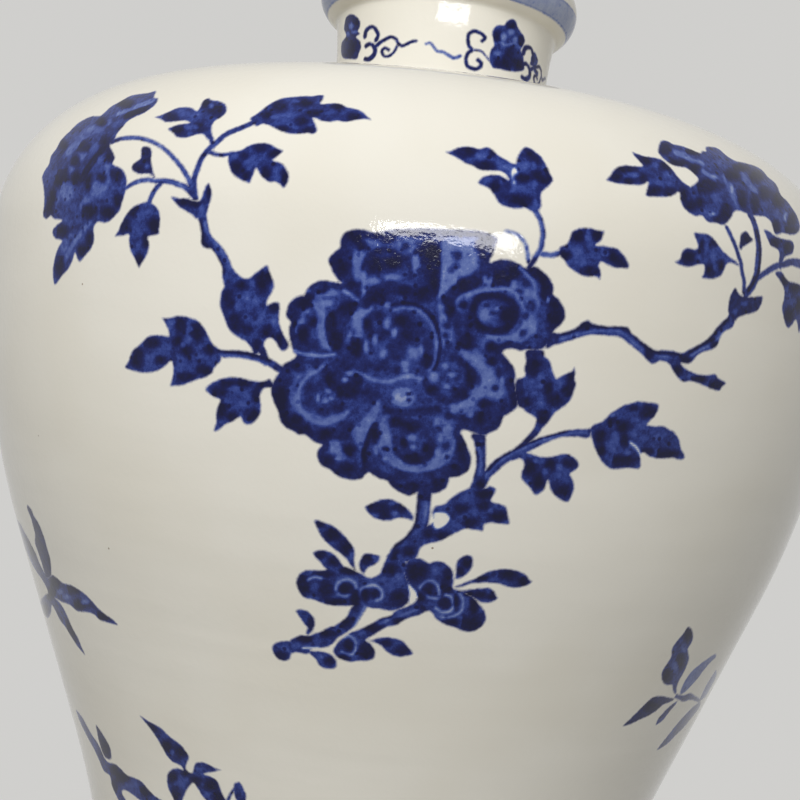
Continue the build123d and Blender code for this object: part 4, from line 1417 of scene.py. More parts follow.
# Painting: the paint's two fields on the skin's lattice

ROWS = BLOCK * math.ceil(OUTLINE_LENGTH / CELL_HEIGHT / BLOCK)
ROW_WAYS = np.linspace(0, OUTLINE_LENGTH, ROWS + 1)
ROW_RADII, ROW_HEIGHTS, ROW_NORMAL_RADII, ROW_NORMAL_HEIGHTS = walk_outline(ROW_WAYS)
COLUMN_STEP = math.tau / COLUMNS
FIRST_ANGLE = -QUARTER / 2

# How softly an area or a vein meets what is under it, in millimetres, where a spot fades out, as
# shares of its radius, and how far past its edge a spot or vein is worked out, in millimetres
AREA_SOFTNESS = 0.25
SPOT_CORE = 0.4
DARK_SPOT_END = 1.9
PALE_SPOT_END = 1.35
VEIN_SOFTNESS = 0.35
SPOT_REACH = 1.6


def smoothstep(low, high, value):
    """How far the value is from low to high, as a share that eases in and out."""
    share = np.clip((value - low) / (high - low), 0, 1)
    return share * share * (3 - 2 * share)


def band_depth(places, half_widths, x, y):
    """How far inside a band about a way each place is."""
    depth = np.full(x.shape, -np.inf)
    for start, end, width, next_width in zip(places, places[1:], half_widths, half_widths[1:]):
        run = end - start
        share = ((x - start[0]) * run[0] + (y - start[1]) * run[1]) / max(run @ run, ROUNDING**2)
        share = np.clip(share, 0, 1)
        gap = np.hypot(x - start[0] - share * run[0], y - start[1] - share * run[1])
        depth = np.maximum(depth, width + share * (next_width - width) - gap)
    return depth


def area_depth(outline, x, y):
    """How far inside a closed outline each place is."""
    closed = np.vstack([outline, outline[:1]])
    depth = band_depth(closed, np.zeros(len(closed)), x, y)
    inside = np.zeros(x.shape, bool)
    for start, end in zip(closed, closed[1:]):
        if start[1] != end[1]:
            crossing = start[0] + (y - start[1]) * (end[0] - start[0]) / (end[1] - start[1])
            inside ^= ((start[1] > y) != (end[1] > y)) & (x < crossing)
    return np.where(inside, -depth, depth)


class Painting:
    """How deep in the paint each lattice place is, in millimetres, and how dark the paint is."""

    def __init__(self):
        self.ink = np.full((ROWS + 1, COLUMNS), -FIELD_REACH)
        self.tone = np.zeros((ROWS + 1, COLUMNS))

    def window(self, angle, way, margin):
        """The lattice's rows and columns about a stroke."""
        radius = np.interp(way.mean(), ROW_WAYS, ROW_RADII)
        rows = (way.min() - margin * MM, way.max() + margin * MM)
        columns = (angle.min() - margin * MM / radius, angle.max() + margin * MM / radius)
        step = ROW_WAYS[1]
        first = max(math.floor(rows[0] / step), 0)
        last = min(math.ceil(rows[1] / step), ROWS)
        left = math.floor((columns[0] - FIRST_ANGLE) / COLUMN_STEP)
        right = math.ceil((columns[1] - FIRST_ANGLE) / COLUMN_STEP)
        return np.arange(first, last + 1), np.arange(left, right + 1), radius

    def stroke(self, kind, tone, angle, way):
        """Lays one stroke, whose places on the glaze are given, into the two fields."""
        margin = FIELD_REACH if kind in ("area", "stem") else SPOT_REACH
        rows, columns, radius = self.window(angle, way, margin)
        if not len(rows):
            return
        x = (FIRST_ANGLE + columns * COLUMN_STEP)[None, :] * radius / MM
        y = ROW_WAYS[rows][:, None] / MM
        x, y = np.broadcast_arrays(x, y)
        places = np.column_stack([angle * radius, way]) / MM
        here = np.ix_(rows, columns % COLUMNS)
        ink, tones = self.ink[here], self.tone[here]
        if kind == "spot":
            across, down = places[1] - places[0], places[2] - places[0]
            spread = across[0] * down[1] - across[1] * down[0]
            u = ((x - places[0, 0]) * down[1] - (y - places[0, 1]) * down[0]) / spread
            v = ((y - places[0, 1]) * across[0] - (x - places[0, 0]) * across[1]) / spread
            end = DARK_SPOT_END if tone > MID else PALE_SPOT_END
            self.tone[here] = tones + (tone - tones) * smoothstep(end, SPOT_CORE, np.hypot(u, v))
            return
        if kind == "area":
            depth = area_depth(places, x, y)
        else:
            middle, side, other = np.split(places, 3)
            depth = band_depth(middle, np.linalg.norm(side - other, axis=1) / 2, x, y)
        if kind == "vein":
            cover = smoothstep(-VEIN_SOFTNESS, VEIN_SOFTNESS, depth)
            self.tone[here] = tones + (tone - tones) * cover
            return
        cover = smoothstep(-AREA_SOFTNESS, AREA_SOFTNESS, depth)
        over = tones + (tone - tones) * cover
        self.tone[here] = np.where(ink > 0, over, np.where(depth > ink, tone, tones))
        self.ink[here] = np.maximum(ink, depth)

    def paint(self, sheet, angle=None, way=None, size=1, mirror=False):
        """Paints a sheet where the photograph has it, or elsewhere, scaled or mirrored."""
        angle = sheet.angle if angle is None else angle
        way = sheet.way if way is None else way
        side = -size if mirror else size
        for kind, tone, places in sheet.strokes:
            ways = way + places[:, 1] * size * MM
            radii = np.interp(ways, ROW_WAYS, ROW_RADII)
            self.stroke(kind, tone, angle + places[:, 0] * side * MM / radii, ways)


# The skin: panels of the glaze on the lattice, with the finest cells only where there is paint


# How many times as wide as high a fine cell may be
WIDEST_CELL = 1.15


def step_for(radius):
    """How many columns a fine cell takes, so that it is about as wide as it is high."""
    step = 1
    while 2 * step * COLUMN_STEP * radius < WIDEST_CELL * CELL_HEIGHT:
        step *= 2
    return step


def turned_rows():
    """Whether each row of blocks lies where the outline turns tightly."""
    tight = np.zeros(ROWS // BLOCK, bool)
    for name in ("neck_root", "lip_root", "lip", "lip_inner"):
        first = STARTS[name] / OUTLINE_LENGTH * ROWS / BLOCK
        last = (STARTS[name] + OUTLINE[name].length) / OUTLINE_LENGTH * ROWS / BLOCK
        tight[math.floor(first):math.ceil(last)] = True
    return tight


def block_steps(ink):
    """How many rows and columns a cell takes in each block."""
    nearest = np.full((ROWS // BLOCK, COLUMNS // BLOCK), -np.inf)
    for row in range(BLOCK + 1):
        for column in range(BLOCK + 1):
            corner = np.roll(ink, -column, axis=1)[row:row + ROWS - BLOCK + 1:BLOCK, ::BLOCK]
            nearest = np.maximum(nearest, corner)
    painted = nearest > -FINE_REACH
    rows = np.where(painted | turned_rows()[:, None], 1, BLOCK)
    fine_columns = [step_for(radius) for radius in ROW_RADII[BLOCK // 2::BLOCK]]
    columns = np.where(painted, np.array(fine_columns)[:, None], BLOCK)
    return rows, columns


def used_places(row_steps, column_steps):
    """Which places of the lattice are a cell's corner, with the first column again at the end."""
    used = np.zeros((ROWS + 1, COLUMNS + 1), bool)
    for row, column in np.ndindex(row_steps.shape):
        low, left = row * BLOCK, column * BLOCK
        rows = slice(low, low + BLOCK + 1, row_steps[row, column])
        used[rows, left:left + BLOCK + 1:column_steps[row, column]] = True
    used[:, 0] |= used[:, -1]
    used[:, -1] = used[:, 0]
    return used


def cell_corners(used, low, high, left, right):
    """The used places round a cell, anticlockwise as seen from outside."""
    ring = [(low, column) for column in range(left, right) if used[low, column]]
    ring += [(row, right) for row in range(low, high) if used[row, right]]
    ring += [(high, column) for column in range(right, left, -1) if used[high, column]]
    ring += [(row, left) for row in range(high, low, -1) if used[row, left]]
    return ring


class Skin:
    """Everything that the panels share: the lattice's places, normals, paint and cells."""

    def __init__(self, painting):
        self.painting = painting
        self.row_steps, self.column_steps = block_steps(painting.ink)
        self.used = used_places(self.row_steps, self.column_steps)

    def faces(self, rows, columns, number):
        """The faces of a panel's cells, as lists of the numbers of their corners."""
        faces = []
        for row in range(rows[0] // BLOCK, rows[1] // BLOCK):
            for column in range(columns[0] // BLOCK, columns[1] // BLOCK):
                tall, wide = self.row_steps[row, column], self.column_steps[row, column]
                for low in range(row * BLOCK, (row + 1) * BLOCK, tall):
                    for left in range(column * BLOCK, (column + 1) * BLOCK, wide):
                        if tall == wide == 1:
                            high, right = low + 1, left + 1
                            ring = ((low, left), (low, right), (high, right), (high, left))
                        else:
                            ring = cell_corners(self.used, low, low + tall, left, left + wide)
                        faces.append([number[i - rows[0], j - columns[0]] for i, j in ring])
        return faces

    def panel(self, name, rows, columns):
        """One panel of the glaze, with the rim turned in where the coat ends."""
        used = self.used[rows[0]:rows[1] + 1, columns[0]:columns[1] + 1]
        number = (np.cumsum(used) - 1).reshape(used.shape)
        faces = self.faces(rows, columns, number)
        row, column = np.nonzero(used)
        row, column = row + rows[0], column + columns[0]
        angle = FIRST_ANGLE + column * COLUMN_STEP
        outward = np.column_stack([np.sin(angle), -np.cos(angle)])
        places = np.column_stack([outward * ROW_RADII[row, None], ROW_HEIGHTS[row]])
        normals = np.column_stack([outward * ROW_NORMAL_RADII[row, None], ROW_NORMAL_HEIGHTS[row]])
        maps = np.column_stack([
            (column - columns[0]) / (columns[1] - columns[0]),
            (row - rows[0]) / (rows[1] - rows[0]),
        ])
        ink = self.painting.ink[row, column % COLUMNS]
        tone = self.painting.tone[row, column % COLUMNS]
        for edge in {0, ROWS} & set(rows):
            rim = np.nonzero(row == edge)[0]
            start = len(places)
            inner = places[rim] - normals[rim] * GLAZE_THICKNESS
            places = np.vstack([places, places[rim], inner])
            normals = np.vstack([normals, np.tile((0, 0, -1), (2 * len(rim), 1))])
            maps = np.vstack([maps, maps[rim], maps[rim]])
            ink = np.append(ink, np.tile(ink[rim], 2))
            tone = np.append(tone, np.tile(tone[rim], 2))
            for index in range(start, start + len(rim) - 1):
                face = [index + 1, index, index + len(rim), index + len(rim) + 1]
                faces.append(face if edge == 0 else face[::-1])
        return skin_object(name, places, normals, maps, ink, tone, faces)


def skin_object(name, places, normals, maps, ink, tone, faces):
    """A smooth mesh object with exact normals, the map for baking and the paint's two fields."""
    mesh = bpy.data.meshes.new(name)
    corners = np.concatenate([np.asarray(face) for face in faces]).astype(np.int32)
    sizes = np.array([len(face) for face in faces])
    mesh.vertices.add(len(places))
    mesh.vertices.foreach_set("co", places.ravel())
    mesh.loops.add(len(corners))
    mesh.loops.foreach_set("vertex_index", corners)
    mesh.polygons.add(len(faces))
    mesh.polygons.foreach_set("loop_start", (np.cumsum(sizes) - sizes).astype(np.int32))
    mesh.update(calc_edges=True)
    mesh.uv_layers.new(name="OFBake").data.foreach_set("uv", maps[corners].ravel())
    for field, values in (("ink", ink), ("tone", tone)):
        mesh.attributes.new(field, "FLOAT", "POINT").data.foreach_set("value", values)
    mesh.shade_smooth()
    mesh.normals_split_custom_set_from_vertices(normals.tolist())
    obj = bpy.data.objects.new(name, mesh)
    bpy.context.scene.collection.objects.link(obj)
    return obj


# Where the painting goes on round the vase: the spray again on the back, mirrored, and sprigs below

SPRAY_MIDDLE = math.radians(2)
NECK_MOTIFS = 4

# Sprigs that the photograph doesn't show: an angle and a height each, by the sprig they repeat
SIDE_SPRIGS = [
    (LOW_SPRIG_TWO, 1.0, [(96, 215), (-97, 222), (88, 150), (-152, 150), (150, 148)]),
    (RIGHT_SPRIG, 1.0, [(-96, 160), (118, 168), (180, 128), (-62, 98), (30, 118)]),
    (LOW_SPRIG_ONE, 1.0, [(10, 100), (-125, 118), (64, 106), (125, 112)]),
    (LOW_SPRIG_TWO, 0.85, [(-25, 76), (45, 68), (100, 74), (155, 80), (-150, 72), (-95, 68)]),
    (RIGHT_SPRIG, 0.7, [(8, 48), (72, 40), (128, 42), (-172, 40), (-122, 38), (-62, 42)]),
]

# The band of wash on the lip's underside, as shares of the lip's round, and how it darkens at its
# edges, over a width in millimetres
LIP_BAND = (0.12, 0.4)
LIP_BAND_TONE = 0.22
LIP_BAND_EDGE_TONE = 0.38
LIP_BAND_EDGE = 0.6


def paint_lip_band(painting):
    """The band of wash on the lip's underside, darker at both its edges."""
    start = STARTS["lip"]
    low, high = ((start + share * OUTLINE["lip"].length) / MM for share in LIP_BAND)
    depth = np.minimum(ROW_WAYS / MM - low, high - ROW_WAYS / MM)
    darker = smoothstep(LIP_BAND_EDGE, 0, depth)
    tone = LIP_BAND_TONE + (LIP_BAND_EDGE_TONE - LIP_BAND_TONE) * darker
    rows = depth > -FIELD_REACH
    painting.ink[rows] = np.maximum(painting.ink[rows], depth[rows, None])
    painting.tone[rows] = tone[rows, None]


def paint_vase():
    """The front as photographed, the spray mirrored on the back, and sprigs between and below."""
    painting = Painting()
    spray = [Sheet(motif) for motif in SPRAY]
    neck = [Sheet(motif) for motif in NECK]
    for sheet in spray + neck + [Sheet(motif) for motif in SPRIGS]:
        painting.paint(sheet)
    for sheet in spray:
        painting.paint(sheet, angle=math.pi + SPRAY_MIDDLE - sheet.angle, mirror=True)
    for sheet in neck[1:]:
        for turn in range(1, NECK_MOTIFS - 1):
            painting.paint(sheet, angle=sheet.angle + turn * math.tau / NECK_MOTIFS)
    for motif, size, places in SIDE_SPRIGS:
        sheet = Sheet(motif)
        for angle, height in places:
            way = float(np.interp(height * MM, OUTSIDE_HEIGHT, OUTSIDE_WAY))
            painting.paint(sheet, angle=math.radians(angle), way=way, size=size, mirror=angle < 0)
    paint_lip_band(painting)
    return painting


# Materials


class Shader:
    """A material's nodes, with short calls that add and join them."""

    def __init__(self, name):
        self.material = bpy.data.materials.new(name)
        self.material.use_nodes = True
        self.tree = self.material.node_tree
        self.surface = self.tree.nodes["Principled BSDF"]
        self.place = self.node("ShaderNodeTexCoord").outputs["Object"]

    def node(self, kind, settings=None, **inputs):
        """A node, with its inputs set to numbers, colours or other nodes' outputs."""
        node = self.tree.nodes.new(kind)
        for key, value in (settings or {}).items():
            setattr(node, key, value)
        for key, value in inputs.items():
            self.plug(node.inputs[int(key[1:])] if key[1:].isdigit() else node.inputs[key], value)
        return node

    def plug(self, socket, value):
        if isinstance(value, bpy.types.NodeSocket):
            self.tree.links.new(value, socket)
        else:
            socket.default_value = value

    def math(self, operation, first, second=0.0, clamp=False):
        settings = {"operation": operation, "use_clamp": clamp}
        return self.node("ShaderNodeMath", settings, _0=first, _1=second).outputs[0]

    def noise(self, size, detail=2.0, roughness=0.5, place=None):
        """A noise whose bumps are about that size."""
        place = self.place if place is None else place
        inputs = {"Vector": place, "Scale": 1 / size, "Detail": detail, "Roughness": roughness}
        return self.node("ShaderNodeTexNoise", **inputs).outputs["Fac"]

    def about_zero(self, noise, amount):
        """A noise moved to lie about zero and scaled."""
        return self.math("MULTIPLY", self.math("SUBTRACT", noise, 0.5), amount)

    def scattered(self, spacing, share):
        """How far each place is from its cell's middle, in cells, and if that cell is picked."""
        cells = self.node("ShaderNodeTexVoronoi", Vector=self.place, Scale=1 / spacing)
        chance = self.node("ShaderNodeSeparateColor", _0=cells.outputs["Color"]).outputs[0]
        return cells.outputs["Distance"], self.math("GREATER_THAN", chance, 1 - share)

    def height(self):
        return self.node("ShaderNodeSeparateXYZ", _0=self.place).outputs[2]

    def stretched(self, across):
        """The place with its level directions scaled, for a noise that runs in bands."""
        settings, scale = {"operation": "MULTIPLY"}, (across, across, 1.0)
        return self.node("ShaderNodeVectorMath", settings, _0=self.place, _1=scale).outputs[0]

    def remap(self, value, low, high, new_low=0.0, new_high=1.0):
        settings = {"interpolation_type": "SMOOTHSTEP"}
        ends = {"From Min": low, "From Max": high, "To Min": new_low, "To Max": new_high}
        return self.node("ShaderNodeMapRange", settings, Value=value, **ends).outputs[0]

    def ramp(self, value, *stops):
        """A colour for the value, from stops of a place and a colour."""
        node = self.node("ShaderNodeValToRGB", Fac=value)
        elements = node.color_ramp.elements
        while len(elements) < len(stops):
            elements.new(1.0)
        for element, (place, colour) in zip(elements, stops):
            element.position = place
            element.color = (*colour, 1)
        return node.outputs["Color"]

    def mix(self, share, first, second):
        node = self.node("ShaderNodeMix", {"data_type": "RGBA"}, _0=share)
        for socket, value in ((node.inputs[6], first), (node.inputs[7], second)):
            self.plug(socket, (*value, 1) if isinstance(value, tuple) else value)
        return node.outputs[2]

    def bump(self, height, distance, strength=1.0, normal=None):
        node = self.node("ShaderNodeBump", Height=height, Distance=distance, Strength=strength)
        if normal is not None:
            self.plug(node.inputs["Normal"], normal)
        return node.outputs["Normal"]

    def finish(self, colour, roughness, normal, **constants):
        """Joins the look to the surface. Constants stay on the surface's own sockets."""
        for key, value in (("Base Color", colour), ("Roughness", roughness), ("Normal", normal)):
            self.plug(self.surface.inputs[key], value)
        for key, value in constants.items():
            self.surface.inputs[key].default_value = value
        return self.material


# The glaze's white, its cobalt from the palest wash to the heaped, nearly black spots, and its
# iron specks
GLAZE_WHITE = (0.80, 0.77, 0.685)
GLAZE_WARM = (0.77, 0.735, 0.64)
COBALT = [
    (0.0, GLAZE_WHITE),
    (0.15, (0.43, 0.47, 0.58)),
    (0.33, (0.115, 0.165, 0.41)),
    (0.48, (0.04, 0.07, 0.285)),
    (0.6, (0.017, 0.036, 0.205)),
    (0.7, (0.006, 0.0135, 0.115)),
    (0.84, (0.0018, 0.0042, 0.064)),
    (1.0, (0.0008, 0.0013, 0.03)),
]
SPECK_BROWN = (0.16, 0.085, 0.035)

# The paint's unevenness, each a size and how much of the tone it moves, and its small dark dots
MOTTLE_SIZE = 2.6 * MM
MOTTLE_AMOUNT = 0.46
BLOOM_SIZE = 0.9 * MM
BLOOM_AMOUNT = 0.36
GRAIN_SIZE = 0.25 * MM
GRAIN_AMOUNT = 0.16
DOT_SPACING = 1.7 * MM
DOT_SIZE = 0.42 * MM
DOT_CORE = 0.5
DOT_END = 1.4
DOT_SHARE = 0.5
DOT_AMOUNT = 0.26

# The paint's edge: how softly it ends, how far it wanders and how far in it is thinner, all in
# millimetres, and what share of its strength is left there
EDGE_BLUR = 0.32
EDGE_WANDER = 0.35
EDGE_THINNER = 0.45
EDGE_STRENGTH = 0.8

# The tones between which the unevenness comes in, from a wash's little to all of it
EVEN_TONE = 0.1
UNEVEN_TONE = 0.62
EVEN_SHARE = 0.12

# The cloudy warmth of the white, and the iron specks in it
CLOUD_SIZE = 38 * MM
CLOUD_START = 0.35
CLOUD_END = 0.7
SPECK_SPACING = 9 * MM
SPECK_SIZE = 0.28 * MM
SPECK_CORE = 0.5
SPECK_SHARE = 0.2
SPECK_STRENGTH = 0.75

# The surface: ripples, throwing rings that fade upwards, orange peel, and grain on heaped paint
RIPPLE_SPACING = 11 * MM
RIPPLE_DEPTH = 0.35 * MM
RIPPLE_STRENGTH = 0.5
RIPPLE_STRETCH = 0.35
RING_SPACING = 5 * MM
RING_DEPTH = 0.09 * MM
RING_STRETCH = 0.1
RING_FADE_START = 170 * MM
RING_FADE_END = 210 * MM
RING_LEAST = 0.25
PEEL_SIZE = 1.5 * MM
PEEL_DEPTH = 0.03 * MM
PEEL_STRENGTH = 0.8
FINE_PEEL_SIZE = 0.6 * MM
FINE_PEEL_DEPTH = 0.012 * MM
FINE_PEEL_STRENGTH = 0.9
HEAPED_TONE = 0.75
HEAPED_DEPTH = 0.01 * MM
HEAPED_STRENGTH = 0.6
HEAPED_ROUGHNESS = 0.02
GLAZE_ROUGHNESS = 0.06
GLAZE_IOR = 1.5
GLAZE_SPECULAR = 0.3


def glaze_material():
    """Clear glossy glaze over brushed cobalt, with soft edges, dark dots and an orange peel."""
    shader = Shader("cobalt_glaze")
    ink = shader.node("ShaderNodeAttribute", {"attribute_name": "ink"}).outputs["Fac"]
    tone = shader.node("ShaderNodeAttribute", {"attribute_name": "tone"}).outputs["Fac"]
    mottle = shader.noise(MOTTLE_SIZE, detail=3.0, roughness=0.6)
    bloom = shader.noise(BLOOM_SIZE, roughness=0.6)
    grain = shader.noise(GRAIN_SIZE, detail=1.0)

    edge = shader.math("ADD", ink, shader.about_zero(bloom, EDGE_WANDER))
    cover = shader.remap(edge, -EDGE_BLUR, EDGE_BLUR)
    inner = shader.remap(edge, 0.0, EDGE_THINNER, EDGE_STRENGTH, 1.0)

    uneven = shader.about_zero(mottle, MOTTLE_AMOUNT)
    uneven = shader.math("ADD", uneven, shader.about_zero(bloom, BLOOM_AMOUNT))
    uneven = shader.math("ADD", uneven, shader.about_zero(grain, GRAIN_AMOUNT))
    distance, picked = shader.scattered(DOT_SPACING, DOT_SHARE)
    dot_radius = DOT_SIZE / DOT_SPACING
    dot = shader.remap(distance, DOT_CORE * dot_radius, DOT_END * dot_radius, 1.0, 0.0)
    dot = shader.math("MULTIPLY", dot, picked)
    uneven = shader.math("ADD", uneven, shader.math("MULTIPLY", dot, DOT_AMOUNT))
    within = shader.remap(tone, EVEN_TONE, UNEVEN_TONE, EVEN_SHARE, 1.0)
    strength = shader.math("ADD", tone, shader.math("MULTIPLY", uneven, within))
    strength = shader.math("MULTIPLY", strength, inner, clamp=True)
    paint = shader.ramp(strength, *COBALT)

    cloud = shader.noise(CLOUD_SIZE)
    ground = shader.mix(shader.remap(cloud, CLOUD_START, CLOUD_END), GLAZE_WHITE, GLAZE_WARM)
    distance, picked = shader.scattered(SPECK_SPACING, SPECK_SHARE)
    speck_radius = SPECK_SIZE / SPECK_SPACING
    speck = shader.remap(distance, SPECK_CORE * speck_radius, speck_radius, 1.0, 0.0)
    speck = shader.math("MULTIPLY", speck, picked)
    ground = shader.mix(shader.math("MULTIPLY", speck, SPECK_STRENGTH), ground, SPECK_BROWN)
    colour = shader.mix(cover, ground, paint)

    ripple = shader.noise(RIPPLE_SPACING, detail=1.0, place=shader.stretched(RIPPLE_STRETCH))
    rings = shader.noise(RING_SPACING, detail=1.0, place=shader.stretched(RING_STRETCH))
    low = shader.remap(shader.height(), RING_FADE_START, RING_FADE_END, 1.0, RING_LEAST)
    heaped = shader.math("MULTIPLY", cover, shader.remap(strength, HEAPED_TONE, 1.0))
    normal = shader.bump(ripple, RIPPLE_DEPTH, RIPPLE_STRENGTH)
    normal = shader.bump(shader.math("MULTIPLY", rings, low), RING_DEPTH, normal=normal)
    peel = shader.noise(PEEL_SIZE, detail=1.5)
    normal = shader.bump(peel, PEEL_DEPTH, PEEL_STRENGTH, normal)
    fine_peel = shader.noise(FINE_PEEL_SIZE, detail=1.0)
    normal = shader.bump(fine_peel, FINE_PEEL_DEPTH, FINE_PEEL_STRENGTH, normal)
    bumps = shader.math("MULTIPLY", heaped, grain)
    normal = shader.bump(bumps, HEAPED_DEPTH, HEAPED_STRENGTH, normal)
    roughness = shader.math("MULTIPLY", heaped, HEAPED_ROUGHNESS)
    roughness = shader.math("ADD", roughness, GLAZE_ROUGHNESS)
    gloss = {"IOR": GLAZE_IOR, "Specular IOR Level": GLAZE_SPECULAR}
    return shader.finish(colour, roughness, normal, **gloss)


# The fired clay: its colours, its clouds and grain, and the rings that the thrower's fingers leave
BISCUIT_LIGHT = (0.80, 0.755, 0.67)
BISCUIT_DARK = (0.70, 0.63, 0.52)
BURN_ORANGE = (0.55, 0.28, 0.12)
SLIP_TONE = (0.72, 0.66, 0.56)
SLIP_DARK = (0.60, 0.52, 0.42)
CLAY_CLOUD_SIZE = 14 * MM
CLAY_CLOUD_START = 0.3
CLAY_CLOUD_END = 0.72
CLAY_GRAIN_SIZE = 0.35 * MM
CLAY_GRAIN_DEPTH = 0.05 * MM
CLAY_GRAIN_STRENGTH = 0.7
THROWING_PITCH = 3.2 * MM
WANDER_SIZE = 6 * MM
WANDER = 4 * MM
BURN_TOP = 7 * MM
BURN_START = BURN_TOP / 3
BURN_STRENGTH = 0.75
BISCUIT_RINGS = 0.12 * MM
SLIP_RINGS = 0.03 * MM
CLAY_IOR = 1.45
SMOOTH_CLOUD = 0.2
ROUGH_CLOUD = 0.8
SMOOTHEST_CLAY = 0.68
ROUGHEST_CLAY = 0.85


def biscuit_material(name, light, dark, rings):
    """Matt unglazed porcelain: fine grain, throwing rings, and an orange flush near the glaze."""
    shader = Shader(name)
    cloud = shader.noise(CLAY_CLOUD_SIZE, detail=4.0, roughness=0.6)
    grain = shader.noise(CLAY_GRAIN_SIZE)
    colour = shader.mix(shader.remap(cloud, CLAY_CLOUD_START, CLAY_CLOUD_END), light, dark)
    uneven = shader.math("MULTIPLY", shader.noise(WANDER_SIZE), WANDER)
    height = shader.math("ADD", shader.height(), uneven)
    flush = shader.remap(height, BURN_START, BURN_TOP, BURN_STRENGTH, 0.0)
    colour = shader.mix(flush, colour, BURN_ORANGE)
    wave = shader.math("SINE", shader.math("MULTIPLY", height, math.tau / THROWING_PITCH))
    normal = shader.bump(wave, rings)
    normal = shader.bump(grain, CLAY_GRAIN_DEPTH, CLAY_GRAIN_STRENGTH, normal)
    roughness = shader.remap(cloud, SMOOTH_CLOUD, ROUGH_CLOUD, SMOOTHEST_CLAY, ROUGHEST_CLAY)
    return shader.finish(colour, roughness, normal, IOR=CLAY_IOR)


# The stage: a pale floor that passes into the background, soft lamps and the camera

BACKGROUND = (0.63, 0.625, 0.61)
FLOOR_RADIUS = 30.0
FLOOR_CORNERS = 96
FLOOR_GRAIN_SIZE = 8 * MM
FLOOR_GRAIN_DEPTH = 0.1 * MM
FLOOR_GRAIN_STRENGTH = 0.1
FLOOR_ROUGHNESS = 0.8

# The floor's glow grows from the near glow to all of it between two distances from the axis. The
# vase itself gets only these shares of the floor's and the room's glow as light.
FADE_START = 0.14
FADE_END = 0.34
NEAR_GLOW = 0.32
FLOOR_LIGHT = 0.16
ROOM_LIGHT = 0.09

# The camera's reach
NEAREST_SEEN = 0.01
FARTHEST_SEEN = 100

# The key lamp's glint is seen at this pixel. The soft lamps, each a place, a side and a power,
# show in no reflection. All the lamps face the same point.
SHOULDER_GLINT = (448, 229)
KEY_DISTANCE = 1.1
KEY_SIZE = (0.68, 0.085)
KEY_POWER = 3.4
AIM = (0, 0, 230 * MM)
SOFT_LAMPS = {
    "front_soft": ((-0.22, -0.84, 0.81), 0.5, 8.2),
    "left_fill": ((-1.4, 0.2, 0.7), 1.2, 2.4),
    "right_fill": ((1.4, 0.3, 0.7), 1.2, 2.4),
    "top_soft": ((0.1, 0.15, 1.5), 0.8, 0.8),
    "back_fill": ((0.2, 1.4, 0.9), 1.4, 15),
}


def lit_background(nodes, links, light):
    """A strength of 1 for what the camera sees, also in a gloss, and a dimmer one as light."""
    light_path = nodes.new("ShaderNodeLightPath")
    seen = light_path.outputs["Is Camera Ray"]
    for kind in ("Is Glossy Ray", "Is Transmission Ray"):
        either = nodes.new("ShaderNodeMath")
        either.operation = "MAXIMUM"
        links.new(seen, either.inputs[0])
        links.new(light_path.outputs[kind], either.inputs[1])
        seen = either.outputs[0]
    strength = nodes.new("ShaderNodeMapRange")
    strength.inputs["To Min"].default_value = light
    strength.inputs["To Max"].default_value = 1.0
    links.new(seen, strength.inputs["Value"])
    return strength.outputs[0]


def floor():
    """A round floor. Its far part glows in the background's colour, so that no horizon shows."""
    bpy.ops.mesh.primitive_circle_add(vertices=FLOOR_CORNERS, radius=FLOOR_RADIUS, fill_type="NGON")
    obj = bpy.context.object
    obj.name = "floor"
    shader = Shader("floor")
    away = shader.node("ShaderNodeVectorMath", {"operation": "LENGTH"}, _0=shader.place)
    fade = shader.remap(away.outputs["Value"], FADE_START, FADE_END, NEAR_GLOW, 1.0)
    normal = shader.bump(shader.noise(FLOOR_GRAIN_SIZE), FLOOR_GRAIN_DEPTH, FLOOR_GRAIN_STRENGTH)
    shader.finish((*BACKGROUND, 1), FLOOR_ROUGHNESS, normal)
    strength = lit_background(shader.tree.nodes, shader.tree.links, FLOOR_LIGHT)
    glow = shader.node("ShaderNodeEmission", Color=(*BACKGROUND, 1), Strength=strength)
    matt = shader.surface.outputs[0]
    both = shader.node("ShaderNodeMixShader", _0=fade, _1=matt, _2=glow.outputs[0])
    shader.plug(shader.tree.nodes["Material Output"].inputs["Surface"], both.outputs[0])
    obj.data.materials.append(shader.material)


def surroundings():
    """The same background beyond the floor."""
    world = bpy.data.worlds.new("surroundings")
    world.use_nodes = True
    nodes, links = world.node_tree.nodes, world.node_tree.links
    links.new(lit_background(nodes, links, ROOM_LIGHT), nodes["Background"].inputs["Strength"])
    nodes["Background"].inputs["Color"].default_value = (*BACKGROUND, 1)
    bpy.context.scene.world = world


def lamp(name, place, size, power, glossy):
    """A soft rectangular lamp that faces the vase, and shows in the glaze if it is glossy."""
    data = bpy.data.lights.new(name, "AREA")
    data.shape = "RECTANGLE"
    data.size, data.size_y = size
    data.energy = power
    obj = bpy.data.objects.new(name, data)
    obj.location = place
    obj.rotation_euler = (Vector(AIM) - Vector(place)).to_track_quat("-Z", "Y").to_euler()
    obj.visible_glossy = glossy
    bpy.context.scene.collection.objects.link(obj)


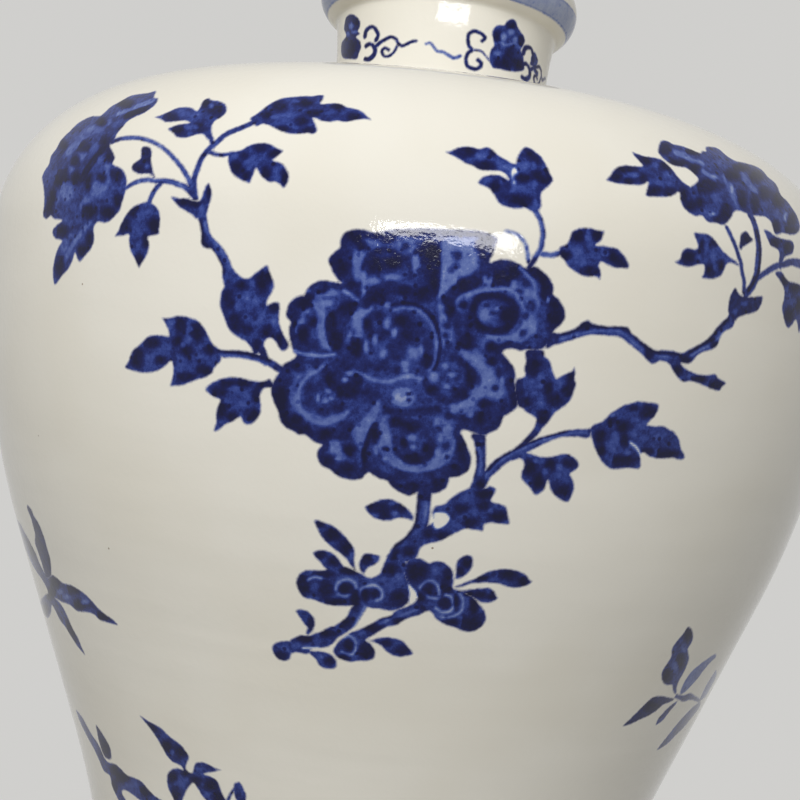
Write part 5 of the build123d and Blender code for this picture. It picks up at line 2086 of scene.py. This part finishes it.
def mirrored_place(pixel, distance):
    """Where a lamp stands so that the glaze shows its reflection at a pixel."""
    towards = rays(np.array([pixel], float))[0]
    angle, way = on_glaze([pixel])
    radius, height, across, up = (float(value[0]) for value in walk_outline(way))
    outward = Vector((math.sin(angle[0]), -math.cos(angle[0]), 0))
    place = outward * radius + Vector((0, 0, height))
    normal = outward * across + Vector((0, 0, up))
    seen = Vector(towards).normalized()
    return place + distance * (seen - 2 * seen.dot(normal) * normal)


def camera():
    """The photograph's camera."""
    data = bpy.data.cameras.new("camera")
    data.sensor_width = SENSOR_WIDTH
    data.lens = FOCAL_PIXELS / PHOTO_SIZE * SENSOR_WIDTH
    data.clip_start = NEAREST_SEEN
    data.clip_end = FARTHEST_SEEN
    obj = bpy.data.objects.new("camera", data)
    axes = Matrix((RIGHT, UP, -FORWARD)).transposed()
    obj.matrix_world = Matrix.Translation(CAMERA_PLACE) @ axes.to_4x4()
    bpy.context.scene.collection.objects.link(obj)
    bpy.context.scene.camera = obj


camera()
floor()
surroundings()
lamp("key", mirrored_place(SHOULDER_GLINT, KEY_DISTANCE), KEY_SIZE, KEY_POWER, glossy=True)
for name, (place, side, power) in SOFT_LAMPS.items():
    lamp(name, place, (side, side), power, glossy=False)

painting = paint_vase()
skin = Skin(painting)
glaze = glaze_material()
lower_rows = np.arange(ROWS // 2)
split_row = np.interp(PANEL_SPLIT_HEIGHT, ROW_HEIGHTS[lower_rows], lower_rows)
split_row = BLOCK * round(split_row / BLOCK)
for side, side_name in enumerate(("front", "right", "back", "left")):
    columns = (side * COLUMNS // QUADRANTS, (side + 1) * COLUMNS // QUADRANTS)
    for level, rows in (("lower", (0, split_row)), ("upper", (split_row, ROWS))):
        panel = skin.panel(f"glaze_{level}_{side_name}", rows, columns)
        panel.data.materials.append(glaze)
        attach(panel, "root")
        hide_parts("glaze_coat")

biscuit = biscuit_material("biscuit_porcelain", BISCUIT_LIGHT, BISCUIT_DARK, BISCUIT_RINGS)
slip = biscuit_material("luting_slip", SLIP_TONE, SLIP_DARK, SLIP_RINGS)
for name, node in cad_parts.items():
    if name != "glaze_coat":
        node.data.materials.clear()
        node.data.materials.append(slip if name.startswith("luting_slip") else biscuit)

bpy.context.scene.view_settings.view_transform = "Standard"
